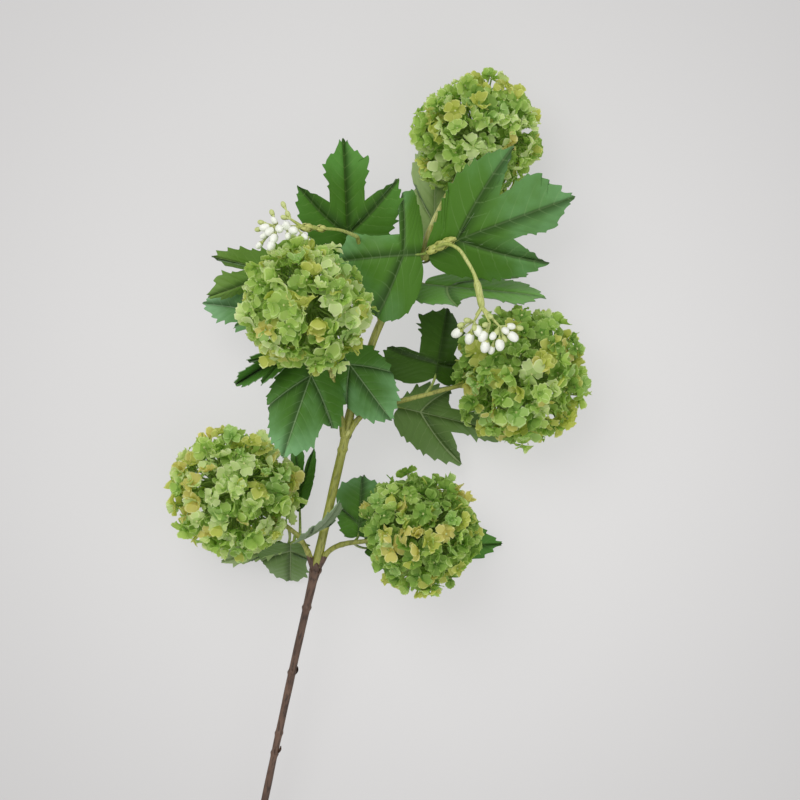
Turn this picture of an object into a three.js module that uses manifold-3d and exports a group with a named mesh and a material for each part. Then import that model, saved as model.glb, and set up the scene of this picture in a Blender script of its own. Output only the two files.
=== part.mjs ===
// Artificial snowball viburnum: one cut spray, lying on a level surface.
//
// Millimetres. X runs across the spray, Y along its stem from the cut end to the tip, Z up.
// Places are written in a working frame whose zero is the middle of the cut end on the surface;
// the exported group is moved so that its origin is the middle of the spray's outline.

import * as THREE from 'three';
import { mergeVertices } from 'three/addons/utils/BufferGeometryUtils.js';
import Module from 'manifold-3d';

const wasm = await Module();
wasm.setup();
const { Manifold, Mesh: SolidMesh } = wasm;

// ---------------------------------------------------------------- driving dimensions

const OUTLINE_MIDDLE = [17.11, 306.08]; // middle of the finished outline, in the working frame
const GAP = 0.3; // air between pieces that are plugged together

const LOW_FORK = [0, 330, 36]; // brown stem ends, two stalks and the green stem start
const HIGH_FORK = [0.8, 404, 41];
const CROWN = [24.6, 509.5, 50]; // knuckle under the top bloom

const BROWN_RADIUS = 1.85;
const GREEN_RADIUS = 2.4;
const STALK_RADIUS = 1.25;
const STEM_SIDES = 8;
const STALK_SIDES = 6;

const LEAF_THICKNESS = 1.0;
const EDGE_SPREAD = 2; // a grown leaf's edge moves this many gaps, for its sharp corners
const PETIOLE_RADIUS = 0.9;

const FLORETS_PER_BLOOM = 30;
const CORE_SHARE = 0.76; // radius of a bloom's solid heart, as a share of the bloom
const FLORET_RADIUS = 12.2;
const FLORET_NOTCH = 5.4; // how far from its middle two petals part
const FLORET_SAG = 1.4; // how far the petals' ends bend back
const FLORET_STEP = 4.2; // every second floret sits this much deeper
const FLORET_DEPTH = 3;
const FLORET_STALK_RADIUS = 1.3;
const STALK_ROOT = 4; // how far a floret's stalk runs into the heart
const FLORET_TURN = 1.3; // radians from one floret to the next, so that they don't line up

const BUD_LENGTH = 5.6;
const BUD_WIDTH = 4.4;
const BUDS_PER_SPRAY = 7;
const RAY_RADIUS = 0.65;

// ---------------------------------------------------------------- materials

function plastic(color, roughness) {
  return new THREE.MeshStandardMaterial({ color, roughness, metalness: 0 });
}

const brownStem = plastic('#6b4a3c', 0.6);
const greenStem = plastic('#96953f', 0.5);
const leafCloth = plastic('#3f7038', 0.62);
const petalCloth = plastic('#93b356', 0.75);
const budPlastic = plastic('#e9e8dc', 0.45);

// ---------------------------------------------------------------- solids

function toSolid(geometry) {
  geometry.deleteAttribute('normal');
  geometry.deleteAttribute('uv');
  const welded = mergeVertices(geometry, 1e-5);
  const vertProperties = new Float32Array(welded.attributes.position.array);
  const triVerts = new Uint32Array(welded.index.array);
  return new Manifold(new SolidMesh({ numProp: 3, vertProperties, triVerts }));
}

function toGeometry(solid) {
  const { vertProperties, triVerts } = solid.getMesh();
  const geometry = new THREE.BufferGeometry();
  geometry.setAttribute('position', new THREE.BufferAttribute(vertProperties, 3));
  geometry.setIndex(new THREE.BufferAttribute(triVerts, 1));
  geometry.computeVertexNormals();
  return geometry;
}

// The biggest of the pieces that a cut leaves.
function largestPiece(solid) {
  const pieces = solid.decompose();
  return pieces.reduce((best, piece) => (piece.volume() > best.volume() ? piece : best));
}

function closedShape(points, triangles) {
  const geometry = new THREE.BufferGeometry().setFromPoints(points);
  geometry.setIndex(triangles.flat());
  return toSolid(geometry);
}

const vector = (place) => new THREE.Vector3(...place);

// A round limb along a smooth curve. The profile lists [share of the length, radius].
function limb(places, profile, sides, grow = 0) {
  const curve = new THREE.CatmullRomCurve3(places.map(vector), false, 'centripetal');
  const points = [];
  const triangles = [];
  const normal = new THREE.Vector3(0, 0, 1);
  profile.forEach(([share, radius], ring) => {
    const centre = curve.getPointAt(share);
    const tangent = curve.getTangentAt(share);
    normal.addScaledVector(tangent, -normal.dot(tangent)).normalize();
    const side = tangent.clone().cross(normal);
    for (let step = 0; step < sides; step += 1) {
      const turn = (2 * Math.PI * step) / sides;
      points.push(centre.clone()
        .addScaledVector(normal, (radius + grow) * Math.cos(turn))
        .addScaledVector(side, (radius + grow) * Math.sin(turn)));
    }
    if (ring === 0) return;
    for (let step = 0; step < sides; step += 1) {
      const here = (ring - 1) * sides + step;
      const next = (ring - 1) * sides + ((step + 1) % sides);
      triangles.push([here, next, next + sides], [here, next + sides, here + sides]);
    }
  });
  const last = (profile.length - 1) * sides;
  for (let step = 1; step < sides - 1; step += 1) {
    triangles.push([0, step + 1, step], [last, last + step, last + step + 1]);
  }
  return closedShape(points, triangles);
}

function evenProfile(rings, startRadius, endRadius) {
  return Array.from({ length: rings + 1 }, (unused, ring) => {
    const share = ring / rings;
    return [share, startRadius + (endRadius - startRadius) * share];
  });
}

const ground = toSolid(new THREE.BoxGeometry(2000, 2000, 200).translate(0, 0, -100));

// ---------------------------------------------------------------- stems and stalks

// A raised ring round a stem, where a bud once grew: three entries of a limb's profile.
function scar(share, radius, rise, halfWidth) {
  return [[share - halfWidth, radius], [share, radius + rise], [share + halfWidth, radius]];
}

const limbs = {};

function addLimb(name, places, profile, sides, material) {
  limbs[name] = { places, profile, sides, material };
}

addLimb('lower_stem', [[0, 0, 1.75], [0, 165, 17.5], LOW_FORK], [
  [0, BROWN_RADIUS],
  ...scar(0.2, BROWN_RADIUS, 0.5, 0.008),
  ...scar(0.45, BROWN_RADIUS + 0.05, 0.55, 0.008),
  ...scar(0.68, BROWN_RADIUS + 0.1, 0.5, 0.007),
  ...scar(0.82, BROWN_RADIUS + 0.2, 0.6, 0.01),
  ...scar(0.945, BROWN_RADIUS + 0.35, 0.6, 0.01),
  [0.985, 2.9],
  [1, 3.1],
], STEM_SIDES, brownStem);

addLimb('upper_stem', [
  [0, 330.4, 36], [1.2, 370, 39], HIGH_FORK, [0.7, 420, 43], [3, 442, 44.5], [5.8, 463, 45.5],
  [13.2, 488.7, 47.5], CROWN, [27.3, 534, 45], [31.2, 554, 41],
], [
  [0, GREEN_RADIUS + 0.3],
  [0.06, GREEN_RADIUS],
  ...scar(0.288, GREEN_RADIUS - 0.05, 0.6, 0.012),
  [0.34, GREEN_RADIUS + 0.4],
  [0.4, GREEN_RADIUS - 0.2],
  [0.6, GREEN_RADIUS - 0.4],
  [0.76, GREEN_RADIUS - 0.5],
  [0.795, 3],
  [0.825, 2.8],
  [0.86, STALK_RADIUS + 0.1],
  [1, STALK_RADIUS],
], STEM_SIDES, greenStem);

addLimb('stalk_lower_left', [
  [-1.6, 330.5, 36.5], [-5.9, 337.2, 38], [-11.7, 343.6, 38.3], [-18.6, 347.6, 38], [-29, 351.5, 37],
], evenProfile(5, 1.5, 1.1), STALK_SIDES, greenStem);

addLimb('stalk_lower_right', [
  [1.2, 330, 36.5], [3.9, 338.2, 38], [7.6, 342.8, 40], [13.2, 346.3, 42], [21.4, 349.3, 44.5],
  [31, 352.8, 47],
], evenProfile(6, 1.5, 1.2), STALK_SIDES, greenStem);

addLimb('stalk_right', [
  [1.6, 402.5, 41.6], [5.3, 412.6, 44], [12, 420.8, 45.2], [23.1, 426.1, 45.2], [37.9, 433.3, 43.2],
  [52.7, 440.9, 41], [61, 444.8, 40],
], evenProfile(7, 1.5, 1.2), STALK_SIDES, greenStem);

addLimb('stalk_front', [
  [-0.4, 402.5, 41.6], [-3.5, 411.7, 46], [-9.7, 425.7, 51], [-19, 443.5, 56.5], [-26.5, 456, 62],
  [-30, 461.5, 71],
], evenProfile(6, 1.6, 1.2), STALK_SIDES, greenStem);

addLimb('side_branch_left', [
  [7, 467.5, 45.8], [-2.2, 484.5, 52], [-10.6, 499, 58.5], [-14.9, 507, 66],
], [[0, 1.3], [0.3, 1.1], [0.6, 1.1], [0.84, 1.2], [0.93, 2.2], [1, 1.9]], STALK_SIDES, greenStem);

// What each limb is plugged into, so that it is cut back to leave the gap.
const CARRIERS = {
  upper_stem: ['lower_stem'],
  stalk_lower_left: ['lower_stem', 'upper_stem'],
  stalk_lower_right: ['lower_stem', 'upper_stem', 'stalk_lower_left'],
  stalk_right: ['upper_stem'],
  stalk_front: ['upper_stem', 'stalk_right'],
  side_branch_left: ['upper_stem'],
};

function limbSolid(name, grow = 0) {
  const { places, profile, sides } = limbs[name];
  return limb(places, profile, sides, grow);
}

function cutBack(solid, obstacles) {
  return largestPiece(Manifold.difference([solid, ...obstacles]));
}

// ---------------------------------------------------------------- leaves

// Half a leaf's outline: share of the leaf's length to the side, and share along its midrib.
// The first is the cut shape with three lobes, the second the same points on a plain oval.
const LOBED_HALF = [
  [0, 0], [0.09, -0.02], [0.19, 0.02], [0.29, 0.12], [0.37, 0.25], [0.43, 0.38], [0.455, 0.52],
  [0.44, 0.68], [0.35, 0.62], [0.26, 0.56], [0.17, 0.48], [0.185, 0.59], [0.22, 0.7], [0.22, 0.81],
  [0.13, 0.88], [0.08, 0.94], [0, 1],
];
const OVAL_HALF = [
  [0, 0], [0.09, -0.02], [0.19, 0.02], [0.27, 0.1], [0.325, 0.2], [0.35, 0.3], [0.355, 0.38],
  [0.36, 0.46], [0.34, 0.52], [0.335, 0.58], [0.315, 0.64], [0.29, 0.7], [0.25, 0.77], [0.2, 0.84],
  [0.14, 0.9], [0.075, 0.95], [0, 1],
];
const MIDRIB_FEET = [
  0, 0.01, 0.03, 0.07, 0.11, 0.145, 0.165, 0.178, 0.19, 0.2, 0.27, 0.43, 0.57, 0.7, 0.82, 0.91, 1,
];
const LAST_SIDE_LOBE_POINT = 8;
const CLEFT_POINT = 10;
const SINUS_PULL = [0.2, 1, 0.5];

// Each leaf: where its petiole starts, its base and tip, and how it was bent by hand. Pairs are
// [left, right] looking from base to tip. size is the flat leaf's length, lift the angle of each
// half above flat, wide and mid the widths of the side lobes and the middle lobe, sweep how far
// the side lobes lean forward, cleft 1 for three lobes and 0 for none, sinus how far that cleft
// is drawn back, arch the midrib's rise.
const leaves = {
  leaf_upper_left: {
    from: [-12, 501.5, 59.5], base: [-17.8, 496.5, 47.5], tip: [-33.6, 557.3, 56], size: 68,
    lift: [22, 18], wide: [0.9, 1], mid: [0.74, 0.88], sweep: [-0.12, -0.08],
  },
  leaf_top_right: {
    from: [24.8, 509.8, 51.2], base: [23.6, 508.4, 56], tip: [93.3, 552.6, 60], size: 80,
    lift: [24, -36], wide: [1.08, 0.98], mid: [1.12, 0.8], sweep: [0.12, 0.06], sinus: [0.05, 0.05], arch: 5,
  },
  leaf_top_middle: {
    from: [24.6, 509.5, 51], base: [19.6, 505.4, 60], tip: [-23.9, 492.1, 57], size: 62,
    lift: [-12, -8], wide: [1.5, 1.25], mid: [1.12, 1], cleft: [0.3, 1],
    sweep: [0.1, -1.2], sinus: [0, -0.17], arch: 8,
  },
  leaf_top_behind: {
    from: [24.6, 509.5, 49], base: [24.8, 517, 35], tip: [13.1, 578.9, 3.4], size: 62,
    wide: [0.5, 0.35], mid: [0.8, 0.6], cleft: [0.2, 0.1], arch: -8,
  },
  leaf_right_edgewise: {
    from: [16, 495, 47.5], base: [24.8, 492.6, 31], tip: [90.8, 500.4, 31], size: 70,
    roll: -60, wide: [1, 0.72], mid: [0.9, 0.85], cleft: [0.7, 1], sweep: [0.6, -0.9], sinus: [0.05, 0],
  },
  leaf_right_upper: {
    from: [37.9, 433.3, 43.2], base: [41.1, 443.9, 39.5], tip: [40.2, 484, 14], size: 62,
    lift: [0, -35], wide: [1.15, 0.75], sweep: [-0.85, -0.6],
  },
  leaf_right_lower: {
    from: [23.1, 426.1, 45], base: [25.8, 424, 39], tip: [94.6, 422.3, 7], size: 72,
    wide: [0.65, 0.72], mid: [0.5, 0.45], sweep: [-0.8, -0.12], arch: -4,
  },
  leaf_left_upper: {
    from: [-26.5, 456, 62], base: [-45.9, 484.5, 51], tip: [-87, 459.4, 47], size: 54,
    lift: [-55, 5], wide: [0.5, 0.85], mid: [0.5, 0.8], sweep: [0, 0.3],
  },
  leaf_left_lower: {
    from: [-25, 453.5, 60.5], base: [-44.8, 459.9, 42], tip: [-90.9, 456.3, 33], size: 50,
    wide: [0.56, 0.7], mid: [0.72, 1], cleft: [0.6, 0.6],
  },
  leaf_left_folded: {
    from: [-21.5, 447.5, 57.5], base: [-33.2, 445.2, 49], tip: [-63.4, 416.9, 39], size: 48,
    lift: [66, 69], cleft: [0.6, 0.6],
  },
  leaf_front_large: {
    from: [-19, 443.5, 56.5], base: [-22.3, 441, 57], tip: [-28.4, 385, 68], size: 66,
    lift: [-32, -40], cleft: [0.45, 0.15], arch: 5,
  },
  leaf_front_small: {
    from: [-14, 433.5, 53.5], base: [-11.5, 446.5, 57], tip: [23.5, 416, 56], size: 56,
    lift: [-30, -30], wide: [0.95, 0.9], cleft: [0.1, 0.1],
  },
  leaf_low_left_upper: {
    from: [-11.7, 343.6, 38.3], base: [-15.5, 358, 28], tip: [-27.3, 393.8, 12], size: 50,
    lift: [-50, -10], wide: [0.3, 0.48], mid: [0.35, 0.4], sweep: [0, 0.5],
  },
  leaf_low_left_lower: {
    from: [-9.5, 341.5, 38.2], base: [-16.1, 338.5, 30], tip: [-13, 315.4, 3.5], size: 44,
    wide: [0.58, 1.08], mid: [0.9, 1.08], sweep: [-0.6, -0.1], cleft: [0.5, 0.2],
  },
  leaf_low_left_narrow: {
    from: [-14.5, 345.5, 38.2], base: [-12.4, 342, 45], tip: [6.3, 368.7, 66], size: 34,
    roll: 75, wide: [0.8, 0.8], cleft: [0.3, 0.3], arch: 3,
  },
  leaf_low_right_upper: {
    from: [13.2, 346.3, 42], base: [18.6, 351.5, 36], tip: [13.4, 383.2, 6], size: 50,
    wide: [0.64, 0.9], sweep: [-0.3, -0.1], cleft: [0.1, 0.1],
  },
  leaf_low_right_under: {
    from: [17, 347.8, 43.2], base: [25, 344.1, 13.5], tip: [98.6, 361.9, 5], size: 74,
    wide: [0.8, 0.35], mid: [0.7, 0.5], cleft: [1, 0.3],
  },
  leaf_low_left_under: {
    from: [-18.6, 347.6, 38], base: [-19.5, 335.5, 25], tip: [-53.4, 318.7, 4], size: 38,
    lift: [0, -10], wide: [0.25, 0.5], mid: [0.4, 0.7], cleft: [0.3, 0.3],
  },
};

const pick = (pair, side, plain) => (pair ? pair[side < 0 ? 0 : 1] : plain);

function halfOutline(leaf, side) {
  const cleft = pick(leaf.cleft, side, 1);
  const wide = pick(leaf.wide, side, 1);
  const mid = pick(leaf.mid, side, 1);
  const sweep = pick(leaf.sweep, side, 0);
  const sinus = pick(leaf.sinus, side, 0);
  return LOBED_HALF.map(([lobedAside, lobedAlong], index) => {
    const [ovalAside, ovalAlong] = OVAL_HALF[index];
    const aside = lobedAside * cleft + ovalAside * (1 - cleft);
    const along = lobedAlong * cleft + ovalAlong * (1 - cleft);
    const towardMiddle = THREE.MathUtils.clamp((index - LAST_SIDE_LOBE_POINT) / 3, 0, 1);
    const lean = index < CLEFT_POINT ? sweep : index === CLEFT_POINT ? sweep / 2 : 0;
    const drawnBack = sinus * (SINUS_PULL[index - CLEFT_POINT + 1] ?? 0);
    return [aside * THREE.MathUtils.lerp(wide, mid, towardMiddle), along + lean * aside + drawnBack];
  });
}

// A function that puts a point of the flat leaf in space.
function leafPlacer(leaf) {
  const base = vector(leaf.base);
  const chord = vector(leaf.tip).sub(base);
  const forward = chord.clone().normalize();
  const up = new THREE.Vector3(0, 0, 1);
  up.addScaledVector(forward, -up.dot(forward)).normalize();
  up.applyAxisAngle(forward, THREE.MathUtils.degToRad(leaf.roll ?? 0));
  const right = forward.clone().cross(up);
  return (aside, along, side) => {
    const lift = THREE.MathUtils.degToRad(pick(leaf.lift, side, 0));
    return base.clone()
      .addScaledVector(chord, along)
      .addScaledVector(up, (leaf.arch ?? 0) * 4 * along * (1 - along))
      .addScaledVector(right, leaf.size * aside * side * Math.cos(lift))
      .addScaledVector(up, leaf.size * aside * Math.sin(lift));
  };
}

function bladeSolid(leaf, grow) {
  const place = leafPlacer(leaf);
  const last = MIDRIB_FEET.length - 1;
  const points = MIDRIB_FEET.map((foot) => place(0, foot, 1));
  const faces = [];
  const margins = [-1, 1].map((side) => {
    const margin = halfOutline(leaf, side).slice(1, last).map((edge) => place(...edge, side));
    const indices = [0, ...margin.map((edge) => points.push(edge) - 1), last];
    for (let index = 0; index < last; index += 1) {
      const [near, far] = [indices[index], indices[index + 1]];
      const strip = [];
      if (index > 0) strip.push([index, near, far]);
      if (index < last - 1) strip.push([index, far, index + 1]);
      faces.push(...strip.map(([a, b, c]) => (side > 0 ? [a, b, c] : [a, c, b])));
    }
    return indices;
  });
  const loop = [...margins[1], ...margins[0].slice(1, -1).reverse()];
  return thicken(points, faces, loop, LEAF_THICKNESS / 2 + grow, grow);
}

// Two copies of a sheet, each half a thickness from it along its normals and joined by a wall.
// The loop runs round the sheet's edge against the clock; spread moves the edge outwards.
function thicken(points, faces, loop, half, spread) {
  const sheet = new THREE.BufferGeometry().setFromPoints(points);
  sheet.setIndex(faces.flat());
  sheet.computeVertexNormals();
  const normals = points.map((point, index) => (
    new THREE.Vector3().fromBufferAttribute(sheet.attributes.normal, index)
  ));
  const spreadPoints = points.map((point) => point.clone());
  const triangles = faces.flatMap(([a, b, c]) => (
    [[a, b, c], [a + points.length, c + points.length, b + points.length]]
  ));
  loop.forEach((here, step) => {
    const next = loop[(step + 1) % loop.length];
    const before = loop.at(step - 1);
    const outward = points[next].clone().sub(points[before]).cross(normals[here]).normalize();
    spreadPoints[here].addScaledVector(outward, spread * EDGE_SPREAD);
    const [hereBelow, nextBelow] = [here + points.length, next + points.length];
    triangles.push([hereBelow, nextBelow, next], [hereBelow, next, here]);
  });
  const offset = (distance) => spreadPoints.map((point, index) => (
    point.clone().addScaledVector(normals[index], distance)
  ));
  return closedShape([...offset(half), ...offset(-half)], triangles);
}

function leafSolid(name, grow = 0) {
  const leaf = leaves[name];
  const place = leafPlacer(leaf);
  const inside = place(0, 0.04, 1);
  const base = place(0, 0, 1);
  const start = vector(leaf.from);
  const middle = start.clone().lerp(base, 0.6).addScaledVector(inside.clone().sub(base), -0.9);
  const route = [start, middle, base, inside].map((point) => point.toArray());
  const petiole = limb(route, evenProfile(3, PETIOLE_RADIUS * 1.1, PETIOLE_RADIUS * 0.8), 4, grow);
  return bladeSolid(leaf, grow).add(petiole);
}

// ---------------------------------------------------------------- bud sprays

// Each spray: its stalk, the thick sheath at the end, and the fan that its buds open in.
const budSprays = {
  bud_spray_right: {
    places: [
      [24.2, 508, 53], [27, 510.6, 61], [31.5, 513, 67], [38.4, 511.4, 72.5], [44.1, 506, 75.5],
      [49.1, 500, 77.5], [52.5, 493.8, 78.2], [56.7, 484.1, 78.5],
    ],
    profile: [
      [0, 1.4], [0.14, 1.2], [0.28, 0.95], [0.42, 0.9], [0.56, 0.9], [0.72, 1], [0.77, 2], [1, 1.9],
    ],
    middle: -70, spread: 104, reach: 19, drop: 3,
  },
  bud_spray_left: {
    places: [[-15.2, 507, 67.5], [-23.6, 507.2, 82], [-34.3, 505, 93], [-42, 503.5, 99]],
    profile: [[0, 1.2], [0.25, 0.9], [0.5, 0.8], [0.75, 0.8], [0.82, 1.4], [1, 1.3]],
    middle: 180, spread: 104, reach: 15, drop: -3,
  },
};

function budSolid(centre, direction) {
  const bud = new THREE.OctahedronGeometry(0.5, 1);
  bud.scale(BUD_WIDTH, BUD_LENGTH, BUD_WIDTH);
  const turn = new THREE.Quaternion().setFromUnitVectors(new THREE.Vector3(0, 1, 0), direction);
  bud.applyQuaternion(turn).translate(...centre.toArray());
  return toSolid(bud);
}

function budSpraySolid(name, grow = 0) {
  const { places, profile, middle, spread, reach, drop } = budSprays[name];
  const parts = [limb(places, profile, STALK_SIDES, grow)];
  const head = vector(places.at(-1));
  const inside = vector(places.at(-2)).lerp(head, 0.8);
  for (let index = 0; index < BUDS_PER_SPRAY; index += 1) {
    const turn = THREE.MathUtils.degToRad(middle + spread * (index / (BUDS_PER_SPRAY - 1) - 0.5));
    const long = index % 2 === 0 ? reach : reach * 0.76;
    const rise = index % 2 === 0 ? -drop : drop * 0.8;
    const centre = head.clone().add(new THREE.Vector3(long * Math.cos(turn), long * Math.sin(turn), rise));
    const direction = centre.clone().sub(head).normalize();
    const ray = [inside, head.clone().addScaledVector(direction, 2), centre];
    parts.push(limb(ray.map((point) => point.toArray()), evenProfile(1, RAY_RADIUS, RAY_RADIUS), 3, grow));
    parts.push(budSolid(centre, direction));
  }
  return Manifold.union(parts);
}

// ---------------------------------------------------------------- blooms

const blooms = {
  bloom_front: { centre: [-30.9, 464.9, 95], radius: 37 },
  bloom_lower_left: { centre: [-51.7, 359.8, 35.8], radius: 37.5 },
  bloom_lower_right: { centre: [50.9, 360.7, 50], radius: 34.5 },
  bloom_right: { centre: [85.8, 454.1, 37], radius: 39 },
  bloom_top: { centre: [34.9, 575.2, 34.5], radius: 36.5 },
};

const GOLDEN_ANGLE = Math.PI * (3 - Math.sqrt(5));

// The unit directions of points spread evenly over a ball.
function evenDirections(count) {
  return Array.from({ length: count }, (unused, index) => {
    const height = 1 - (2 * index + 1) / count;
    const turn = index * GOLDEN_ANGLE;
    const ring = Math.sqrt(1 - height * height);
    return new THREE.Vector3(ring * Math.cos(turn), ring * Math.sin(turn), height);
  });
}

// One floret, its face at the origin and looking along +Z: five blunt petals on a stalk.
function floretShape(stalkLength) {
  const points = [new THREE.Vector3(0, 0, 0)];
  const add = (radius, turn, height) => points.push(
    new THREE.Vector3(radius * Math.cos(turn), radius * Math.sin(turn), height),
  );
  const petalTurn = (2 * Math.PI) / 5;
  for (let petal = 0; petal < 5; petal += 1) {
    add(FLORET_NOTCH, petal * petalTurn, 0);
    add(FLORET_RADIUS, (petal + 0.28) * petalTurn, -FLORET_SAG);
    add(FLORET_RADIUS, (petal + 0.72) * petalTurn, -FLORET_SAG);
  }
  for (const depth of [FLORET_DEPTH, stalkLength]) {
    for (let corner = 0; corner < 3; corner += 1) {
      add(FLORET_STALK_RADIUS, corner * ((2 * Math.PI) / 3), -depth);
    }
  }
  const rim = 15;
  const collar = rim + 1;
  const foot = collar + 3;
  const triangles = [];
  for (let step = 0; step < rim; step += 1) {
    const [here, next] = [1 + step, 1 + ((step + 1) % rim)];
    // The nearest of the stalk's three corners, for this rim point and for the next.
    const corner = Math.round(step / 5) % 3;
    const nextCorner = Math.round((step + 1) / 5) % 3;
    triangles.push([0, here, next], [next, here, collar + corner]);
    if (corner !== nextCorner) triangles.push([next, collar + corner, collar + nextCorner]);
  }
  for (let corner = 0; corner < 3; corner += 1) {
    const next = (corner + 1) % 3;
    triangles.push([collar + next, collar + corner, foot + corner]);
    triangles.push([collar + next, foot + corner, foot + next]);
  }
  triangles.push([foot, foot + 2, foot + 1]);
  return { points, triangles };
}

function placedFloret(shape, centre, direction, distance, spin) {
  const outwards = new THREE.Quaternion().setFromUnitVectors(new THREE.Vector3(0, 0, 1), direction);
  const spun = new THREE.Quaternion().setFromAxisAngle(new THREE.Vector3(0, 0, 1), spin);
  const turn = outwards.multiply(spun);
  const origin = centre.clone().addScaledVector(direction, distance);
  const points = shape.points.map((point) => point.clone().applyQuaternion(turn).add(origin));
  return closedShape(points, shape.triangles);
}

function bloomSolid({ centre, radius }) {
  const middle = vector(centre);
  const core = new THREE.IcosahedronGeometry(radius * CORE_SHARE, 1).translate(...centre);
  const shape = floretShape(radius * (1 - CORE_SHARE) + STALK_ROOT);
  const florets = evenDirections(FLORETS_PER_BLOOM).map((direction, index) => {
    const distance = index % 2 === 0 ? radius - FLORET_STEP : radius;
    return placedFloret(shape, middle, direction, distance, index * FLORET_TURN);
  });
  return Manifold.union([toSolid(core), ...florets]);
}

// ---------------------------------------------------------------- assembly

const spray = new THREE.Group();
spray.position.set(-OUTLINE_MIDDLE[0], -OUTLINE_MIDDLE[1], 0);

function addPiece(name, solid, material) {
  const mesh = new THREE.Mesh(toGeometry(solid), material);
  mesh.name = name;
  spray.add(mesh);
}

const grownLimbs = Object.keys(limbs).map((name) => limbSolid(name, GAP));
const grownSprays = Object.keys(budSprays).map((name) => budSpraySolid(name, GAP));
const grownLeaves = Object.keys(leaves).map((name) => leafSolid(name, GAP));

for (const [name, { material }] of Object.entries(limbs)) {
  const carriers = (CARRIERS[name] ?? []).map((carrier) => limbSolid(carrier, GAP));
  addPiece(name, cutBack(limbSolid(name), [ground, ...carriers]), material);
}
for (const name of Object.keys(budSprays)) {
  addPiece(name, cutBack(budSpraySolid(name), grownLimbs), budPlastic);
}
Object.keys(leaves).forEach((name, index) => {
  const earlier = [...grownLimbs, ...grownSprays, ...grownLeaves.slice(0, index)];
  addPiece(name, cutBack(leafSolid(name), earlier), leafCloth);
});
for (const [name, bloom] of Object.entries(blooms)) {
  const neighbours = [...grownLimbs, ...grownSprays, ...grownLeaves];
  addPiece(name, cutBack(bloomSolid(bloom), [ground, ...neighbours]), petalCloth);
}

export default spray;
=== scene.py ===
"""Artificial snowball viburnum spray: the looks of its stems, leaves, blooms and buds.

Sizes are in millimetres in the spray's working frame: X across, Y along the stem from the middle
of its cut end, Z up from the surface it lies on. world() turns them into metres in the part's frame.
"""

import math
import random

import bpy
import numpy as np
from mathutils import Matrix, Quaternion, Vector
from mathutils.kdtree import KDTree

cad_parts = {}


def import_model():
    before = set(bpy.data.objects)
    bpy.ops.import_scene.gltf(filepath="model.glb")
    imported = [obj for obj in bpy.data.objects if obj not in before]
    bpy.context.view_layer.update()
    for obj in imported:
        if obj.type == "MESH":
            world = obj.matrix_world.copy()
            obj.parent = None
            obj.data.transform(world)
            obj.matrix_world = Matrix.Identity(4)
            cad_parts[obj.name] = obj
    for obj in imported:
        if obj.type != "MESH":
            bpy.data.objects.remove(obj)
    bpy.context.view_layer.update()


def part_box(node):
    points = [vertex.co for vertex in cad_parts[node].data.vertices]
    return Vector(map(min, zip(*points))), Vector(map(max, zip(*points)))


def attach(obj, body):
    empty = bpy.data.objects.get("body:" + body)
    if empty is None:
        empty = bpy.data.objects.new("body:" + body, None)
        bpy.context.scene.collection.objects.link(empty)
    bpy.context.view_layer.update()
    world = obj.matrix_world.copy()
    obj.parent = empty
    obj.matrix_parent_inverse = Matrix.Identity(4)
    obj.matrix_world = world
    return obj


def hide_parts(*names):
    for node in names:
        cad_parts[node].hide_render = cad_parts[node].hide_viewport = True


bl_info = {
    "name": "Artificial Snowball Viburnum Spray",
    "version": (1, 0, 0),
    "blender": (4, 5, 0),
    "location": "View3D > Sidebar > Viburnum",
    "description": "Cloth blooms, printed leaves, bud clusters and moulded stems of one cut spray",
    "category": "Object",
}

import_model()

OUTLINE_MIDDLE = (17.11, 306.08)  # the part's origin, in the working frame

# ---------------------------------------------------------------- colours and small helpers

RANDOM_TURN = 6.3  # a random angle lies between 0 and this, about a full turn
NOISE_WAVES = 7
NOISE_SPAN = 3.2  # the sum of that many waves is seldom more
CURVE_STEPS = 24  # points of a curve between two of its places, before they are spaced evenly


def linear(hex_colour):
    """An sRGB hex colour as a linear RGBA tuple."""
    channels = [int(hex_colour[i:i + 2], 16) / 255 for i in (1, 3, 5)]
    return tuple(c / 12.92 if c <= 0.04045 else ((c + 0.055) / 1.055) ** 2.4 for c in channels) + (1.0,)


def add(tree, kind, inputs=(), **settings):
    """Adds a node. inputs is a list in socket order or a dict by name; a node stands for its first output."""
    made = tree.nodes.new(kind)
    for name, value in settings.items():
        setattr(made, name, value)
    named = inputs.items() if isinstance(inputs, dict) else enumerate(inputs)
    for name, value in named:
        if isinstance(name, int):
            socket = made.inputs[name]
        else:
            socket = next(s for s in made.inputs if s.name == name and s.enabled)
        if isinstance(value, bpy.types.Node):
            value = next(output for output in value.outputs if output.enabled)
        if isinstance(value, bpy.types.NodeSocket):
            tree.links.new(value, socket)
        else:
            socket.default_value = value
    return made


def world(points):
    """Working-frame millimetres to metres in the part's frame."""
    return (np.asarray(points, float) - (*OUTLINE_MIDDLE, 0.0)) / 1000.0


def unit(vector):
    """A vector's direction, with a length of one."""
    vector = np.asarray(vector, float)
    return vector / max(np.linalg.norm(vector), 1e-12)


def wave_noise(points, size, seed):
    """A smooth value at each point, mostly from -1 to 1, with lumps about `size` across."""
    rng = np.random.default_rng(seed)
    total = np.zeros(len(points))
    for _ in range(NOISE_WAVES):
        direction = unit(rng.normal(size=3))
        tighter, shift = rng.uniform(0.6, 1.5), rng.uniform(0, RANDOM_TURN)
        total += np.sin(points @ direction * (2 * math.pi / size) * tighter + shift)
    return total / NOISE_SPAN


def grid_quads(rows, columns, closed=False):
    """The quads of a grid of points, row by row. The last column of a closed grid meets its first."""
    across = columns if closed else columns - 1
    i, j = np.meshgrid(np.arange(rows - 1), np.arange(across), indexing="ij")
    k = (j + 1) % columns
    corners = [i * columns + j, i * columns + k, (i + 1) * columns + k, (i + 1) * columns + j]
    return np.stack(corners, axis=-1).reshape(-1, 4)


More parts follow.
